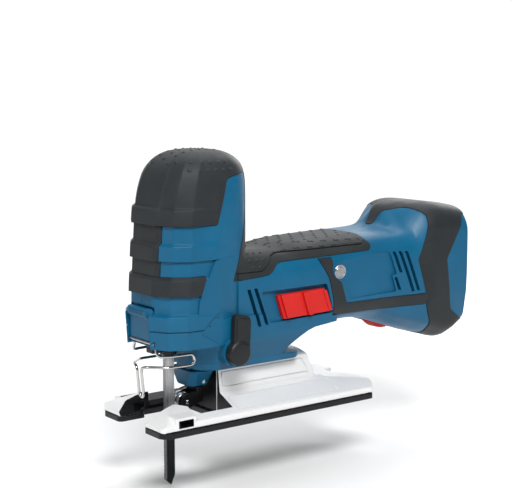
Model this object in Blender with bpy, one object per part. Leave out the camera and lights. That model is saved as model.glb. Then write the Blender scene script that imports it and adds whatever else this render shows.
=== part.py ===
# Cordless barrel-grip jigsaw, modelled as an assembly of separate pieces.
# Frame: +X is the cutting direction, +Y the tool's left side, +Z up.
# Origin: centre of the sole face, on the underside of the glide shoe.
# Lengths below are millimetres; everything is scaled to metres by MM.
import bpy, bmesh, math
from mathutils import Vector, Matrix

for o in list(bpy.data.objects):
    bpy.data.objects.remove(o, do_unlink=True)

MM = 0.001
GAP = 0.3                 # clearance between neighbouring pieces

# ---- driving dimensions -------------------------------------------------
SOLE_X0, SOLE_X1 = -91.0, 85.5      # sole length
SOLE_HALF = 38.6                    # half width of the sole
SHOE_T = 3.6                        # glide shoe thickness
TILT_R = 36.3                       # radius of the bevel saddle about the sole axis
MOUTH_HALF = 14.5                   # half width of the blade mouth at the front
HEAD_REAR = 4.0
MOTOR_Z, GEAR_Z = 83.0, 110.0       # motor shaft and drive gear axes
GEAR_MODULE, GEAR_T, PINION_T = 1.0, 45, 9
CRANK_R = 11.5                      # eccentric radius, 23 mm stroke
PLUNGER_X = 57.0
ROLLER_X, ROLLER_Z, ROLLER_R = 46.9, 12.0, 5.5
BLADE_X0, BLADE_X1, BLADE_T = 52.8, 61.0, 1.4
BLADE_TIP = -43.4
FORK_PIVOT = (36.0, 24.6)
LEVER_PIVOT = (26.0, 46.5)
RELEASE_PIVOT = (77.2, 55.5)
DIAL_C = (-127.5, 57.0)
DIAL_R = 17.0
WALL = 4.2                          # housing wall
SINK = 1.8                          # depth of the rubber inlays

# ---- helpers -----------------------------------------------------------
def material(name, rgb, rough, metal=0.0):
    m = bpy.data.materials.new(name)
    m.use_nodes = True
    b = m.node_tree.nodes["Principled BSDF"]
    b.inputs["Base Color"].default_value = (rgb[0], rgb[1], rgb[2], 1)
    b.inputs["Roughness"].default_value = rough
    b.inputs["Metallic"].default_value = metal
    m.diffuse_color = (rgb[0], rgb[1], rgb[2], 1)
    return m

BLUE = (0.020, 0.145, 0.292)
BLACK = (0.024, 0.026, 0.028)
RED = (0.78, 0.035, 0.020)
ALU = (0.78, 0.79, 0.80)
STEEL = (0.55, 0.56, 0.58)
DARK = (0.06, 0.06, 0.065)
BRASS = (0.72, 0.48, 0.18)
COPPER = (0.75, 0.30, 0.12)
GREEN = (0.02, 0.16, 0.07)

def finish(name, bm, mat=None, cutter=False, origin=None, smooth=False):
    bmesh.ops.remove_doubles(bm, verts=bm.verts, dist=1e-5)
    bmesh.ops.recalc_face_normals(bm, faces=bm.faces)
    bmesh.ops.scale(bm, vec=(MM, MM, MM), verts=bm.verts)
    me = bpy.data.meshes.new(name)
    if origin:
        o3 = Vector(origin) * MM
        bmesh.ops.translate(bm, vec=-o3, verts=bm.verts)
    bm.to_mesh(me)
    bm.free()
    ob = bpy.data.objects.new(name, me)
    bpy.context.scene.collection.objects.link(ob)
    if origin:
        ob.location = Vector(origin) * MM
    if cutter:
        ob.hide_render = True
        ob.display_type = 'WIRE'
    elif mat:
        me.materials.append(mat)
    if smooth:
        me.shade_smooth()
        me.set_sharp_from_angle(angle=math.radians(35))
    return ob

def loft_bm(rings):
    bm = bmesh.new()
    loops = []
    for r in rings:
        loops.append([bm.verts.new(p) for p in r])
    n = len(loops[0])
    for a, b in zip(loops[:-1], loops[1:]):
        for i in range(n):
            j = (i + 1) % n
            bm.faces.new((a[i], a[j], b[j], b[i]))
    bm.faces.new(loops[0])
    bm.faces.new(loops[-1])
    return bm

def extrude_poly(pts3, vec):
    bm = bmesh.new()
    f = bm.faces.new([bm.verts.new(p) for p in pts3])
    r = bmesh.ops.extrude_face_region(bm, geom=[f])
    vs = [g for g in r["geom"] if isinstance(g, bmesh.types.BMVert)]
    bmesh.ops.translate(bm, vec=vec, verts=vs)
    return bm

def side(pts, y0, y1):      # polygon in X,Z swept along Y
    return extrude_poly([(x, y0, z) for x, z in pts], (0, y1 - y0, 0))

def plan(pts, z0, z1):      # polygon in X,Y swept along Z
    return extrude_poly([(x, y, z0) for x, y in pts], (0, 0, z1 - z0))

def cross(pts, x0, x1):     # polygon in Y,Z swept along X
    return extrude_poly([(x0, y, z) for y, z in pts], (x1 - x0, 0, 0))

def box(x0, x1, y0, y1, z0, z1):
    return plan([(x0, y0), (x1, y0), (x1, y1), (x0, y1)], z0, z1)

def circle(cx, cy, r, n, a0=0.0):
    return [(cx + r * math.cos(a0 + 2 * math.pi * i / n), cy + r * math.sin(a0 + 2 * math.pi * i / n)) for i in range(n)]

def rod(axis, a, b, c0, c1, r, n=24):
    """cylinder along axis from a to b, centre (c0, c1) in the other two axes"""
    p = circle(c0, c1, r, n)
    if axis == 'X':
        return cross(p, a, b)
    if axis == 'Y':
        return side(p, a, b)
    return plan(p, a, b)

def turned(profile, axis, c0, c1, n=28, full=True):
    """ring turned from a closed (distance along axis, radius) profile that stays off the axis"""
    bm = bmesh.new()
    rings = []
    for i in range(n):
        t = 2 * math.pi * i / n
        ring = []
        for s, r in profile:
            u, w = c0 + r * math.cos(t), c1 + r * math.sin(t)
            p = (s, u, w) if axis == 'X' else ((u, s, w) if axis == 'Y' else (u, w, s))
            ring.append(bm.verts.new(p))
        rings.append(ring)
    m = len(profile)
    for i in range(n):
        a, b = rings[i], rings[(i + 1) % n]
        for k in range(m):
            l = (k + 1) % m
            bm.faces.new((a[k], a[l], b[l], b[k]))
    return bm

def merge(*bms):
    out = bmesh.new()
    for b in bms:
        me = bpy.data.meshes.new("tmp")
        b.to_mesh(me)
        b.free()
        out.from_mesh(me)
        bpy.data.meshes.remove(me)
    return out

def bop(ob, cutter, op):
    m = ob.modifiers.new(op.lower(), 'BOOLEAN')
    m.operation = op
    m.object = cutter
    m.solver = 'EXACT'
    return ob

def cut(ob, bm, name):
    return bop(ob, finish(name, bm, cutter=True), 'DIFFERENCE')

def add(ob, bm, name):
    return bop(ob, finish(name, bm, cutter=True), 'UNION')

# ---- housing envelope ---------------------------------------------------
HEAD_ROWS = [   # z, front X, rear X, half width
    (52.0, 79.8, 4.0, 31.4), (72.4, 80.9, 4.0, 31.5), (74.4, 77.9, 4.0, 31.5),
    (97.0, 77.0, 4.0, 31.8), (118.0, 75.8, 4.0, 31.9), (140.0, 74.2, 4.0, 31.6),
    (148.2, 71.2, 4.0, 31.2), (157.4, 68.0, 4.2, 30.2), (164.0, 65.0, 5.5, 28.4),
    (169.5, 60.5, 9.5, 24.8), (173.5, 54.0, 16.0, 19.0), (176.2, 44.0, 27.0, 10.0)]

def head_ring(z, xf, xr, w):
    s = (xf - xr) / 73.0
    half = [(xf, 13.5 * w / 31.8), (xf - 3.2 * s, 17.2 * w / 31.8), (xf - 7.5 * s, 26.0 * w / 31.8),
            (xf - 17.0 * s, 0.97 * w), (xf - 36.0 * s, w), (xr + 17.0 * s, 0.90 * w),
            (xr + 6.5 * s, 0.64 * w), (xr, 0.37 * w)]
    return [(x, y, z) for x, y in half] + [(x, -y, z) for x, y in reversed(half)]

def head_bm(d):
    rows = []
    n = len(HEAD_ROWS)
    for i, (z, xf, xr, w) in enumerate(HEAD_ROWS):
        dd = d
        zz = z + (d if i == n - 1 else (0.7 * d if i == n - 2 else 0))
        if i == 0:
            zz = z - 1.0 if d != 0 else z
        rows.append(head_ring(zz, xf + dd, xr - dd, w + dd))
    return loft_bm(rows)

BARREL_ROWS = [  # x, half width, bottom z, top z
    (22.0, 29.0, 52.0, 111.0), (4.0, 30.5, 52.0, 109.6), (-5.0, 31.2, 52.5, 109.2), (-22.0, 31.8, 52.8, 112.2),
    (-47.0, 32.2, 53.6, 113.0), (-62.0, 32.6, 54.2, 113.4), (-78.0, 33.0, 54.6, 113.9),
    (-91.0, 33.3, 53.4, 114.3), (-105.0, 33.8, 49.5, 114.8), (-112.0, 34.2, 47.2, 116.0),
    (-118.0, 34.8, 45.2, 119.0), (-125.0, 35.6, 43.0, 125.5), (-131.0, 36.5, 41.0, 131.0),
    (-141.0, 37.5, 38.0, 133.2), (-152.0, 37.8, 35.2, 133.7), (-166.0, 37.8, 31.5, 133.5),
    (-180.0, 37.6, 38.0, 132.7)]

def barrel_ring(x, w, zb, zt):
    h = [(0.56 * w, zt), (0.83 * w, zt - 3.6), (w, zt - 13.5), (w + 0.3, 82.0), (w, 67.0), (w - 3.0, 60.0 if zb > 50 else zb + 9.0),
         (0.56 * w, zb)]
    return [(x, y, z) for y, z in h] + [(x, -y, z) for y, z in reversed(h)]

def barrel_bm(d, x_end=None):
    rows = []
    for i, (x, w, zb, zt) in enumerate(BARREL_ROWS):
        xx = x
        if i == 0:
            xx = x + d
        if i == len(BARREL_ROWS) - 1 and x_end is not None:
            xx = x_end
        rows.append(barrel_ring(xx, w + d, zb - d, zt + d))
    return loft_bm(rows)

def lower_bm():
    rows = []
    for z, x0, x1, h in [(33.6, -36.0, 47.8, 21.8), (37.6, -36.0, 48.0, 22.2), (38.6, -24.5, 48.0, 22.6), (42.7, -26.0, 48.0, 25.0),
                         (46.0, -29.8, 48.0, 27.0), (50.0, -35.0, 49.0, 29.0), (53.0, -40.0, 50.0, 30.2), (54.8, -46.0, 50.4, 30.4),
                         (55.8, -56.0, 50.6, 30.5), (56.6, -64.0, 50.8, 30.6), (69.0, -64.0, 52.0, 31.0)]:
        c, cx, cy = 4.0, 14.0, h * 0.46
        rows.append([(x1, h - cy, z), (x1 - cx, h, z), (x0 + c, h, z), (x0, h - c, z),
                     (x0, -h + c, z), (x0 + c, -h, z), (x1 - cx, -h, z), (x1, -h + cy, z)])
    return loft_bm(rows)

env = finish("cut_envelope", head_bm(0.0), cutter=True)
add(env, barrel_bm(0.0), "cut_env_barrel")
add(env, lower_bm(), "cut_env_lower")
env_out = finish("cut_env_proud", head_bm(0.35), cutter=True)
add(env_out, barrel_bm(0.35), "cut_env_proud_barrel")
env_in = finish("cut_env_sunk", head_bm(-SINK), cutter=True)
add(env_in, barrel_bm(-SINK), "cut_env_sunk_barrel")
env_in2 = finish("cut_env_sunk2", head_bm(-SINK - GAP), cutter=True)
add(env_in2, barrel_bm(-SINK - GAP), "cut_env_sunk2_barrel")

cavity = finish("cut_cavity", head_bm(-WALL), cutter=True)
add(cavity, barrel_bm(-WALL, -172.0), "cut_cavity_barrel")
add(cavity, box(-24, 45, -17, 17, 46.6, 66), "cut_cavity_lower")
add(cavity, box(-19, 45, -16, 16, 43.5, 50), "cut_cavity_floor")
add(cavity, box(51.0, 72.0, -13.0, 13.0, 45, 70), "cut_cavity_mouth")

# ---- rubber inlays: side view outlines ------------------------------------
CAP = [(30.6, 157.8), (39.8, 129.6), (95, 129.6), (95, 190), (-8, 190), (-8, 160.8), (14, 160.8), (24, 159.8)]
STRIP = [(66.5, 97.9), (95, 97.9), (95, 129.3), (66.5, 129.3)]
BAND = [(52.1, 85.6), (95, 85.6), (95, 97.6), (47.8, 97.6)]
PAD = [(26.0, 91.9), (-3.0, 94.1), (-9.6, 101.6), (-41.5, 102.2), (-88.8, 103.6), (-91.4, 107.0), (-87.5, 112.0),
       (-87.0, 140), (-12, 140), (-12, 160.4), (8.0, 160.4), (9.5, 133.6)]
SIDE_R = [(-43.0, 101.0), (-54.4, 101.0), (-55.2, 96.2), (-54.8, 91.0), (-56.6, 86.8), (-61.2, 84.2), (-62.6, 82.4), (-67.4, 68.6),
          (-135.2, 68.6), (-135.9, 61.2), (-56.3, 61.2), (-56.1, 71.2), (-54.0, 79.2), (-52.1, 87.2)]
BUMPER = [(-114.5, 114.9), (-114.5, 150), (-179.0, 150), (-179.0, 124.9), (-176.5, 122.6), (-158.2, 92.6), (-167.6, 62.8), (-176.9, 48.9),
          (-176.9, 27.5), (-149.3, 27.5), (-147.6, 38.5), (-134.6, 52.6), (-138.4, 64.0), (-131.7, 92.0),
          (-136.3, 105.0), (-140.2, 117.0), (-139.0, 122.2), (-135.6, 125.1), (-132.2, 126.9), (-129.4, 126.7),
          (-121.6, 119.6)]

def grow(pts, d):
    """offset a side-view outline outwards by d"""
    n = len(pts)
    area = sum(pts[i][0] * pts[(i + 1) % n][1] - pts[(i + 1) % n][0] * pts[i][1] for i in range(n))
    sgn = 1.0 if area > 0 else -1.0
    out = []
    for i in range(n):
        p0, p1, p2 = Vector(pts[i - 1]), Vector(pts[i]), Vector(pts[(i + 1) % n])
        e1, e2 = (p1 - p0).normalized(), (p2 - p1).normalized()
        n1, n2 = Vector((e1.y, -e1.x)) * sgn, Vector((e2.y, -e2.x)) * sgn
        b = n1 + n2
        k = d / max(0.35, (1 + n1.dot(n2)))
        out.append((p1.x + b.x * k, p1.y + b.y * k))
    return out

rubber = material("rubber_black", BLACK, 0.62)

def inlay(name, pts, y0, y1):
    ob = finish(name, side(pts, y0, y1), mat=rubber)
    bop(ob, env_out, 'INTERSECT')
    bop(ob, env_in, 'DIFFERENCE')
    c = finish("cut_" + name, side(grow(pts, GAP), y0 - (GAP if y0 > -45 else 0), y1 + (GAP if y1 < 45 else 0)), cutter=True)
    bop(c, env_in2, 'DIFFERENCE')
    return ob, c

inlays = [inlay("head_cap_rubber", CAP, -45, 45),
          inlay("front_strip_rubber", STRIP, -17.0, 17.0),
          inlay("lower_band_rubber", BAND, -45, 45),
          inlay("grip_top_pad", PAD, -45, 45),
          inlay("side_rubber_left", SIDE_R, 10, 45),
          inlay("side_rubber_right", SIDE_R, -45, -10),
          inlay("rear_bumper", BUMPER, -45, 45)]
cut(inlays[-1][0], box(-190, -170.7, -27.3, 27.3, 25, 60), "cut_bumper_slide")      # clear of the battery slide

# ---- cuts shared by both housing halves ------------------------------------
VENTS = [[(10.2, 86.0), (7.6, 86.0), (-1.4, 61.2), (1.2, 61.2)], [(15.4, 85.6), (12.8, 85.6), (4.4, 60.6), (7.0, 60.6)],
         [(-108.9, 100.8), (-111.5, 100.8), (-117.6, 85.6), (-115.0, 85.6)],
         [(-114.3, 100.6), (-116.9, 100.6), (-128.9, 71.0), (-126.3, 71.0)],
         [(-119.6, 100.4), (-122.2, 100.4), (-133.6, 71.4), (-131.0, 71.4)],
         [(-110.2, 82.6), (-112.8, 82.6), (-117.0, 73.0), (-114.4, 73.0)]]
SWITCH_WIN = [(4.2, 83.2), (-49.6, 84.0), (-56.2, 63.4), (-2.6, 62.0)]

def common_cuts(ob, s, tag):
    bop(ob, cavity, 'DIFFERENCE')
    for i, (r, c) in enumerate(inlays):
        nm = r.name
        if nm.endswith("left") and s < 0 or nm.endswith("right") and s > 0:
            continue
        bop(ob, c, 'DIFFERENCE')
    for i, v in enumerate(VENTS):
        cut(ob, side(v, s * 22, s * 45), "cut_vent_%s%d" % (tag, i))
    cut(ob, side(SWITCH_WIN, s * 29.0, s * 45), "cut_switch_" + tag)
    cut(ob, box(-27.5, -12.0, s * 20, s * 32, 66.4, 72.6), "cut_switch_slot_" + tag)
    # blade release pocket, mouth under the head, dial slot, rear recess, neck of the gear housing
    cut(ob, box(74.6, 90, -13.8, 13.8, 50, 78.5), "cut_release_" + tag)
    cut(ob, box(DIAL_C[0] - DIAL_R - 0.7, DIAL_C[0] + DIAL_R + 0.7, -6.2, 6.2, 30, 60), "cut_dial_" + tag)
    cut(ob, box(-190, -171.0, -27.0, 27.0, 25, 124), "cut_rear_" + tag)
    cut(ob, box(31.9, 46.1, -8.4, 8.4, 25, 64), "cut_neck_" + tag)
    # round arch over the bevel saddle
    cut(ob, cross(circle(0, 0, TILT_R + 0.7, 64), -60, 50.5), "cut_arch_" + tag)
    # channel for the clamp screw thread
    return ob

blue = material("housing_blue", BLUE, 0.42)
halves = []
for s, tag in ((1, "left"), (-1, "right")):
    h = finish("housing_" + tag, box(-200, 120, min(s * 0.15, s * 60), max(s * 0.15, s * 60), 20, 200), mat=blue)
    bop(h, env, 'INTERSECT')
    common_cuts(h, s, tag)
    halves.append(h)
left, right = halves
add(left, rod('Y', 20.0, 31.4, LEVER_PIVOT[0], LEVER_PIVOT[1], 9.2, 24), "cut_lever_boss")
cut(left, rod('Y', 25.0, 40.0, LEVER_PIVOT[0], LEVER_PIVOT[1], 3.4, 20), "cut_lever_bore")

# screws in the right half
SCREWS = [(55, 121), (33, 118), (-14, 98), (-147, 118), (-133, 54)]
screw_mat = material("screw_steel", DARK, 0.35, 1.0)
for i, (x, z) in enumerate(SCREWS):
    cut(right, rod('Y', -26.0, -45.0, x, z, 3.6, 20), "cut_screw_%d" % (i + 1))
    bm = rod('Y', -26.3, -29.3, x, z, 3.2, 20)
    ob = finish("housing_screw_%d" % (i + 1), bm, mat=screw_mat)
    cut(ob, rod('Y', -27.8, -31.0, x, z, 1.4, 6), "cut_socket_%d" % (i + 1))

# ---- gear housing with the guide nose -------------------------------------
case = [(16.6, 16.0), (30.0, 24.8), (50.0, 24.8), (59.5, 18.5), (65.8, 9.0)]
inside = [(19.0, 14.8), (30.4, 23.5), (48.6, 23.5), (57.6, 17.4), (62.4, 8.6)]
gh = finish("gear_housing", plan(case + [(x, -y) for x, y in reversed(case)], 62.2, 147.0), mat=material("gear_case", (0.42, 0.43, 0.45), 0.45, 0.8))
cut(gh, plan(inside + [(x, -y) for x, y in reversed(inside)], 64.8, 144.6), "cut_gear_inside")
cut(gh, rod('Z', 55, 70, PLUNGER_X, 0, 7.2, 24), "cut_gear_bush_lower")
cut(gh, rod('Z', 140, 158, PLUNGER_X, 0, 7.2, 24), "cut_gear_bush_upper")
cut(gh, rod('X', 10, 20, 0, MOTOR_Z, 8.2, 24), "cut_gear_motor_bore")
cut(gh, rod('X', 10, 20, 0, GEAR_Z, 4.3, 24), "cut_gear_axle_bore")
nose_rows = [(22.0, 31.2, 46.4, 9.8), (32.9, 29.4, 47.6, 15.0)]
rows = []
for z, x0, x1, h in nose_rows:
    c = 2.5
    rows.append([(x1, h - c, z), (x1 - c, h, z), (x0 + c, h, z), (x0, h - c, z),
                 (x0, -h + c, z), (x0 + c, -h, z), (x1 - c, -h, z), (x1, -h + c, z)])
nose = finish("guide_nose", loft_bm(rows), mat=blue)
add(nose, box(32.4, 45.6, -7.9, 7.9, 32.0, 61.6), "cut_nose_neck")
cut(nose, box(28.0, 43.4, -4.3, 4.3, 20, 31), "cut_nose_fork_slot")
cut(nose, rod('Y', -20, 20, FORK_PIVOT[0], FORK_PIVOT[1], 1.8, 16), "cut_nose_pin_hole")

# ---- drive train ----------------------------------------------------------
def gear_outline(n, module, cy, cz, phase):
    rp = n * module / 2.0
    rt, rr = rp + 0.62 * module, rp - 1.1 * module
    pts = []
    for i in range(n):
        a = phase + 2 * math.pi * i / n
        p = math.pi * module / rp           # angular pitch
        for da, r in ((-0.30, rr), (-0.105, rt), (0.105, rt), (0.30, rr)):
            pts.append((cy + r * math.cos(a + da * p), cz + r * math.sin(a + da * p)))
    return pts

steel = material("steel", STEEL, 0.32, 1.0)
g_c = (24.5, 0, GEAR_Z)
gear = finish("drive_gear", cross(gear_outline(GEAR_T, GEAR_MODULE, 0, GEAR_Z, -math.pi / 2), 40, 46), mat=steel, origin=(40, 0, GEAR_Z))
cut(gear, turned([(38, 9), (38, 17.5), (41.5, 17.5), (41.5, 9)], 'X', 0, GEAR_Z), "cut_gear_web")
cut(gear, rod('X', 35, 50, 0, GEAR_Z, 3.3, 20), "cut_gear_bore")
cut(gear, rod('X', 42, 50, CRANK_R, GEAR_Z, 2.3, 20), "cut_gear_pin_bore")
finish("eccentric_pin", rod('X', 42.3, 49.6, CRANK_R, GEAR_Z, 2.0, 20), mat=steel, origin=(42.3, 0, GEAR_Z))
finish("gear_axle", rod('X', 14.4, 47.5, 0, GEAR_Z, 2.9, 20), mat=steel, origin=(14.4, 0, GEAR_Z))
finish("gear_axle_bearing", turned([(14.6, 3.2), (14.6, 4.0), (16.8, 4.0), (16.8, 3.2)], 'X', 0, GEAR_Z, 20), mat=steel)

shaft = finish("motor_shaft", rod('X', -104, 39.0, 0, MOTOR_Z, 2.5, 16), mat=steel, origin=(-104, 0, MOTOR_Z))
pin = finish("pinion", cross(gear_outline(PINION_T, GEAR_MODULE, 0, MOTOR_Z, math.pi / 2 + math.pi / PINION_T), 39.3, 47.0), mat=steel, origin=(39.3, 0, MOTOR_Z))
finish("armature_core", turned([(-84, 2.8), (-84, 16.5), (-50, 16.5), (-50, 2.8)], 'X', 0, MOTOR_Z, 24),
       mat=material("armature", COPPER, 0.4, 0.7), origin=(-84, 0, MOTOR_Z))
finish("commutator", turned([(-95, 2.8), (-95, 9.0), (-86, 9.0), (-86, 2.8)], 'X', 0, MOTOR_Z, 24),
       mat=material("commutator_copper", COPPER, 0.3, 1.0), origin=(-95, 0, MOTOR_Z))
fan = finish("cooling_fan", turned([(-45, 2.8), (-45, 6.5), (-35, 6.5), (-35, 2.8)], 'X', 0, MOTOR_Z, 24),
             mat=material("fan_plastic", BLACK, 0.5), origin=(-45, 0, MOTOR_Z))
blades = []
for i in range(8):
    a = 2 * math.pi * i / 8
    c, s = math.cos(a), math.sin(a)
    q = [(5.5, -0.7), (21.0, -0.7), (21.0, 0.7), (5.5, 0.7)]
    blades.append(cross([(u * c - v * s, MOTOR_Z + u * s + v * c) for u, v in q], -44.5, -36.5))
for i, b in enumerate(blades):
    add(fan, b, "cut_fan_blade_%d" % i)
finish("motor_can", turned([(-98, 21.4), (-98, 23.0), (-47, 23.0), (-47, 21.4)], 'X', 0, MOTOR_Z, 32), mat=material("motor_steel", DARK, 0.4, 0.9))
for nm, a0 in (("magnet_upper", 0.25), ("magnet_lower", math.pi + 0.25)):
    n = 12
    arc = [(17.6 * math.cos(a0 + (math.pi - 0.5) * i / n), MOTOR_Z + 17.6 * math.sin(a0 + (math.pi - 0.5) * i / n)) for i in range(n + 1)]
    arc += [(20.9 * math.cos(a0 + (math.pi - 0.5) * i / n), MOTOR_Z + 20.9 * math.sin(a0 + (math.pi - 0.5) * i / n)) for i in range(n, -1, -1)]
    finish(nm, cross(arc, -82, -52), mat=material(nm, DARK, 0.6))
finish("brush_plate", turned([(-102.5, 5.5), (-102.5, 22.0), (-99.0, 22.0), (-99.0, 5.5)], 'X', 0, MOTOR_Z, 28), mat=material("brush_plate", BLACK, 0.5))
finish("motor_bearing_front", turned([(12.5, 2.8), (12.5, 7.8), (17.0, 7.8), (17.0, 2.8)], 'X', 0, MOTOR_Z, 24), mat=steel)
finish("motor_bearing_rear", turned([(-103.5, 2.8), (-103.5, 5.2), (-98.5, 5.2), (-98.5, 2.8)], 'X', 0, MOTOR_Z, 20), mat=steel)

# ---- plunger, holder, blade --------------------------------------------------
P0 = (PLUNGER_X, 0, 110)
plunger = finish("plunger", rod('Z', 52.4, 146.0, PLUNGER_X, 0, 4.2, 20), mat=steel, origin=P0)
add(plunger, box(50.4, 55.0, -17.5, 17.5, 103.5, 116.5), "cut_yoke")
cut(plunger, box(49.0, 53.4, -15.0, 15.0, 106.6, 113.4), "cut_yoke_slot")
holder = finish("blade_holder", rod('Z', 44.0, 52.1, PLUNGER_X, 0, 6.0, 20), mat=material("holder_steel", DARK, 0.35, 1.0), origin=(PLUNGER_X, 0, 48))
cut(holder, box(BLADE_X0 - 0.4, BLADE_X1 + 0.4, -BLADE_T / 2 - 0.3, BLADE_T / 2 + 0.3, 30, 47), "cut_blade_slot")
prof = [(BLADE_X0, 46.5), (BLADE_X0, BLADE_TIP + 6.5), (56.0, BLADE_TIP)]
z = BLADE_TIP + 4.6
k = 0
while z < 20.0:
    prof += [(BLADE_X1, z), (BLADE_X1 - 1.2, z + 2.2)]
    z += 2.6
prof += [(BLADE_X1, z), (BLADE_X1, 46.5)]
finish("saw_blade", side(prof, -BLADE_T / 2, BLADE_T / 2), mat=material("blade_black", (0.03, 0.035, 0.04), 0.38, 0.8), origin=(56.9, 0, 20))
bz = material("bronze", BRASS, 0.35, 1.0)
finish("plunger_bush_lower", turned([(60.0, 4.5), (60.0, 6.9), (67.0, 6.9), (67.0, 4.5)], 'Z', PLUNGER_X, 0, 24), mat=bz)
finish("plunger_bush_upper", turned([(144.0, 4.5), (144.0, 6.9), (152.0, 6.9), (152.0, 4.5)], 'Z', PLUNGER_X, 0, 24), mat=bz)

# ---- guide roller and fork ---------------------------------------------------
FX, FZ = FORK_PIVOT
fork = finish("roller_fork", side([(32.5, 28.3), (39.6, 28.3), (39.6, 20.0), (39.6, 17.0), (32.5, 17.0)], -3.7, 3.7), mat=material("fork_steel", DARK, 0.4, 0.9), origin=(FX, 0, FZ))
add(fork, box(34.0, 39.2, -6.6, 6.6, 10.5, 20.6), "cut_fork_bridge")
for s in (1, -1):
    add(fork, side([(36.0, 18.5), (50.2, 15.0), (50.2, 9.0), (45.5, 7.0), (36.0, 11.0)], s * 4.4, s * 6.9), "cut_fork_ear_%d" % s)
cut(fork, rod('Y', -10, 10, FX, FZ, 1.75, 16), "cut_fork_bore")
cut(fork, rod('Y', -10, 10, ROLLER_X, ROLLER_Z, 1.8, 16), "cut_fork_roller_bore")
finish("fork_pivot_pin", rod('Y', -9.6, 9.6, FX, FZ, 1.45, 16), mat=steel, origin=(FX, 0, FZ))
roller = turned([(-4.0, 1.8), (-4.0, 5.6), (-1.6, 5.6), (-1.1, 4.9), (1.1, 4.9), (1.6, 5.6), (4.0, 5.6), (4.0, 1.8)], 'Y', ROLLER_X, ROLLER_Z, 28)
cyl_r = finish("guide_roller", roller, mat=steel, origin=(ROLLER_X, 0, ROLLER_Z))
finish("roller_axle", rod('Y', -7.6, 7.6, ROLLER_X, ROLLER_Z, 1.45, 16), mat=steel, origin=(ROLLER_X, 0, ROLLER_Z))

# ---- base ---------------------------------------------------------------------
def mirror_y(half):
    return half + [(x, -y) for x, y in reversed(half)]

alu = material("base_alloy", ALU, 0.35, 0.9)
arc = []
a0 = math.asin(15.0 / TILT_R)
for i in range(13):
    a = a0 - 2 * a0 * i / 12
    arc.append((TILT_R * math.sin(a), TILT_R * math.cos(a)))
wing = [(37.3, SHOE_T + GAP), (37.3, 8.2), (17.0, 17.4)]
base = finish("base_plate", cross(wing + arc + [(-y, z) for y, z in reversed(wing)], SOLE_X0, SOLE_X1 - 0.6), mat=alu, origin=(0, 0, 0.01))
# blade opening and mouth
cut(base, plan(mirror_y([(67.0, MOUTH_HALF), (100.0, MOUTH_HALF)])[::1], 0, 40), "cut_base_mouth")
cut(base, plan([(29.0, -24.0), (29.0, 24.0), (57.0, 24.0), (67.2, 19.0), (67.2, -19.0), (57.0, -24.0)], 0, 60), "cut_base_window")
# clearance wedges for the nose when the plate is tilted
for s in (1, -1):
    cut(base, cross([(s * 14.0, 4.6), (s * 34.5, 11.9), (s * 14.0, 40)], 28.4, 58), "cut_base_wedge_%d" % s)
    cut(base, cross([(s * 13.5, 2.6), (s * 19.8, 11.8), (s * 13.5, 40)], 57, 90), "cut_base_lip_%d" % s)
# saddle ends: front face at X 28, sloped rear face; wing thins toward the rear corners
cut(base, side([(-52.5, 17.6), (-42.5, 45.0), (-120, 45.0), (-120, 16.0)], -60, 60), "cut_base_rear_step")
cut(base, side([(-100, 10.6), (-60, 16.2), (-51, 19.5), (-60, 40), (-120, 40)], -60, 60), "cut_base_rear_slope")
cut(base, side([(77.0, 12.6), (90, 2.6), (90, 40), (60, 40), (66, 16)], -60, 60), "cut_base_front_slope")
cut(base, plan([(-100, 38), (-86.5, 38.5), (-91.5, 32), (-100, 30)], 0, 60), "cut_base_corner_l")
cut(base, plan([(-100, -38), (-86.5, -38.5), (-91.5, -32), (-100, -30)], 0, 60), "cut_base_corner_r")
cut(base, plan([(-93, -12), (-80, -6), (-78, 0), (-80, 6), (-93, 12)], 0, 60), "cut_base_rear_notch")
cut(base, plan([(100, 39.5), (82, 39.5), (85.4, 34), (100, 34)], 0, 60), "cut_base_tip_l")
cut(base, plan([(100, -39.5), (82, -39.5), (85.4, -34), (100, -34)], 0, 60), "cut_base_tip_r")
for s in (1, -1):      # bridge over the guide channel, then the channel for the parallel guide
    add(base, cross([(s * 37.2, 8.0), (s * 37.2, 10.9), (s * 36.6, 11.5), (s * 29.6, 12.9), (s * 28.5, 11.2)], 60.2, 75.8), "cut_bridge_%d" % s)
    cut(base, box(62.5, 73.5, min(s * 10, s * 45), max(s * 10, s * 45), 5.3, 10.1), "cut_guide_%d" % s)
cut(base, rod("Z", 0, 40, -10, 0, 6.2, 24), "cut_base_key_hole")

# sole underside: glide shoe
shoe_pts = [(SOLE_X1, 16.5), (SOLE_X1, 33.5), (81.5, SOLE_HALF), (-86.8, SOLE_HALF), (SOLE_X0, 32.5), (SOLE_X0, -32.5),
            (-86.8, -SOLE_HALF), (81.5, -SOLE_HALF), (SOLE_X1, -33.5), (SOLE_X1, -16.5), (83.5, -MOUTH_HALF),
            (66.5, -MOUTH_HALF), (64.5, -20.5), (33.0, -20.5), (31.0, -18.0), (31.0, 18.0), (33.0, 20.5), (64.5, 20.5), (66.5, MOUTH_HALF), (83.5, MOUTH_HALF)]
shoe = finish("glide_shoe", plan(shoe_pts, 0.0, SHOE_T), mat=material("shoe_black", BLACK, 0.5), origin=(0, 0, 0.01))
# base clamp screw in its key hole
cs = finish("base_clamp_screw", rod('Z', 5.0, 26.0, -10, 0, 3.2, 20), mat=steel, origin=(-10, 0, 5))
add(cs, rod('Z', 5.0, 10.5, -10, 0, 5.6, 24), "cut_clamp_head")
cut(cs, rod('Z', 3.0, 8.5, -10, 0, 2.9, 6), "cut_clamp_hex")

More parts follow.
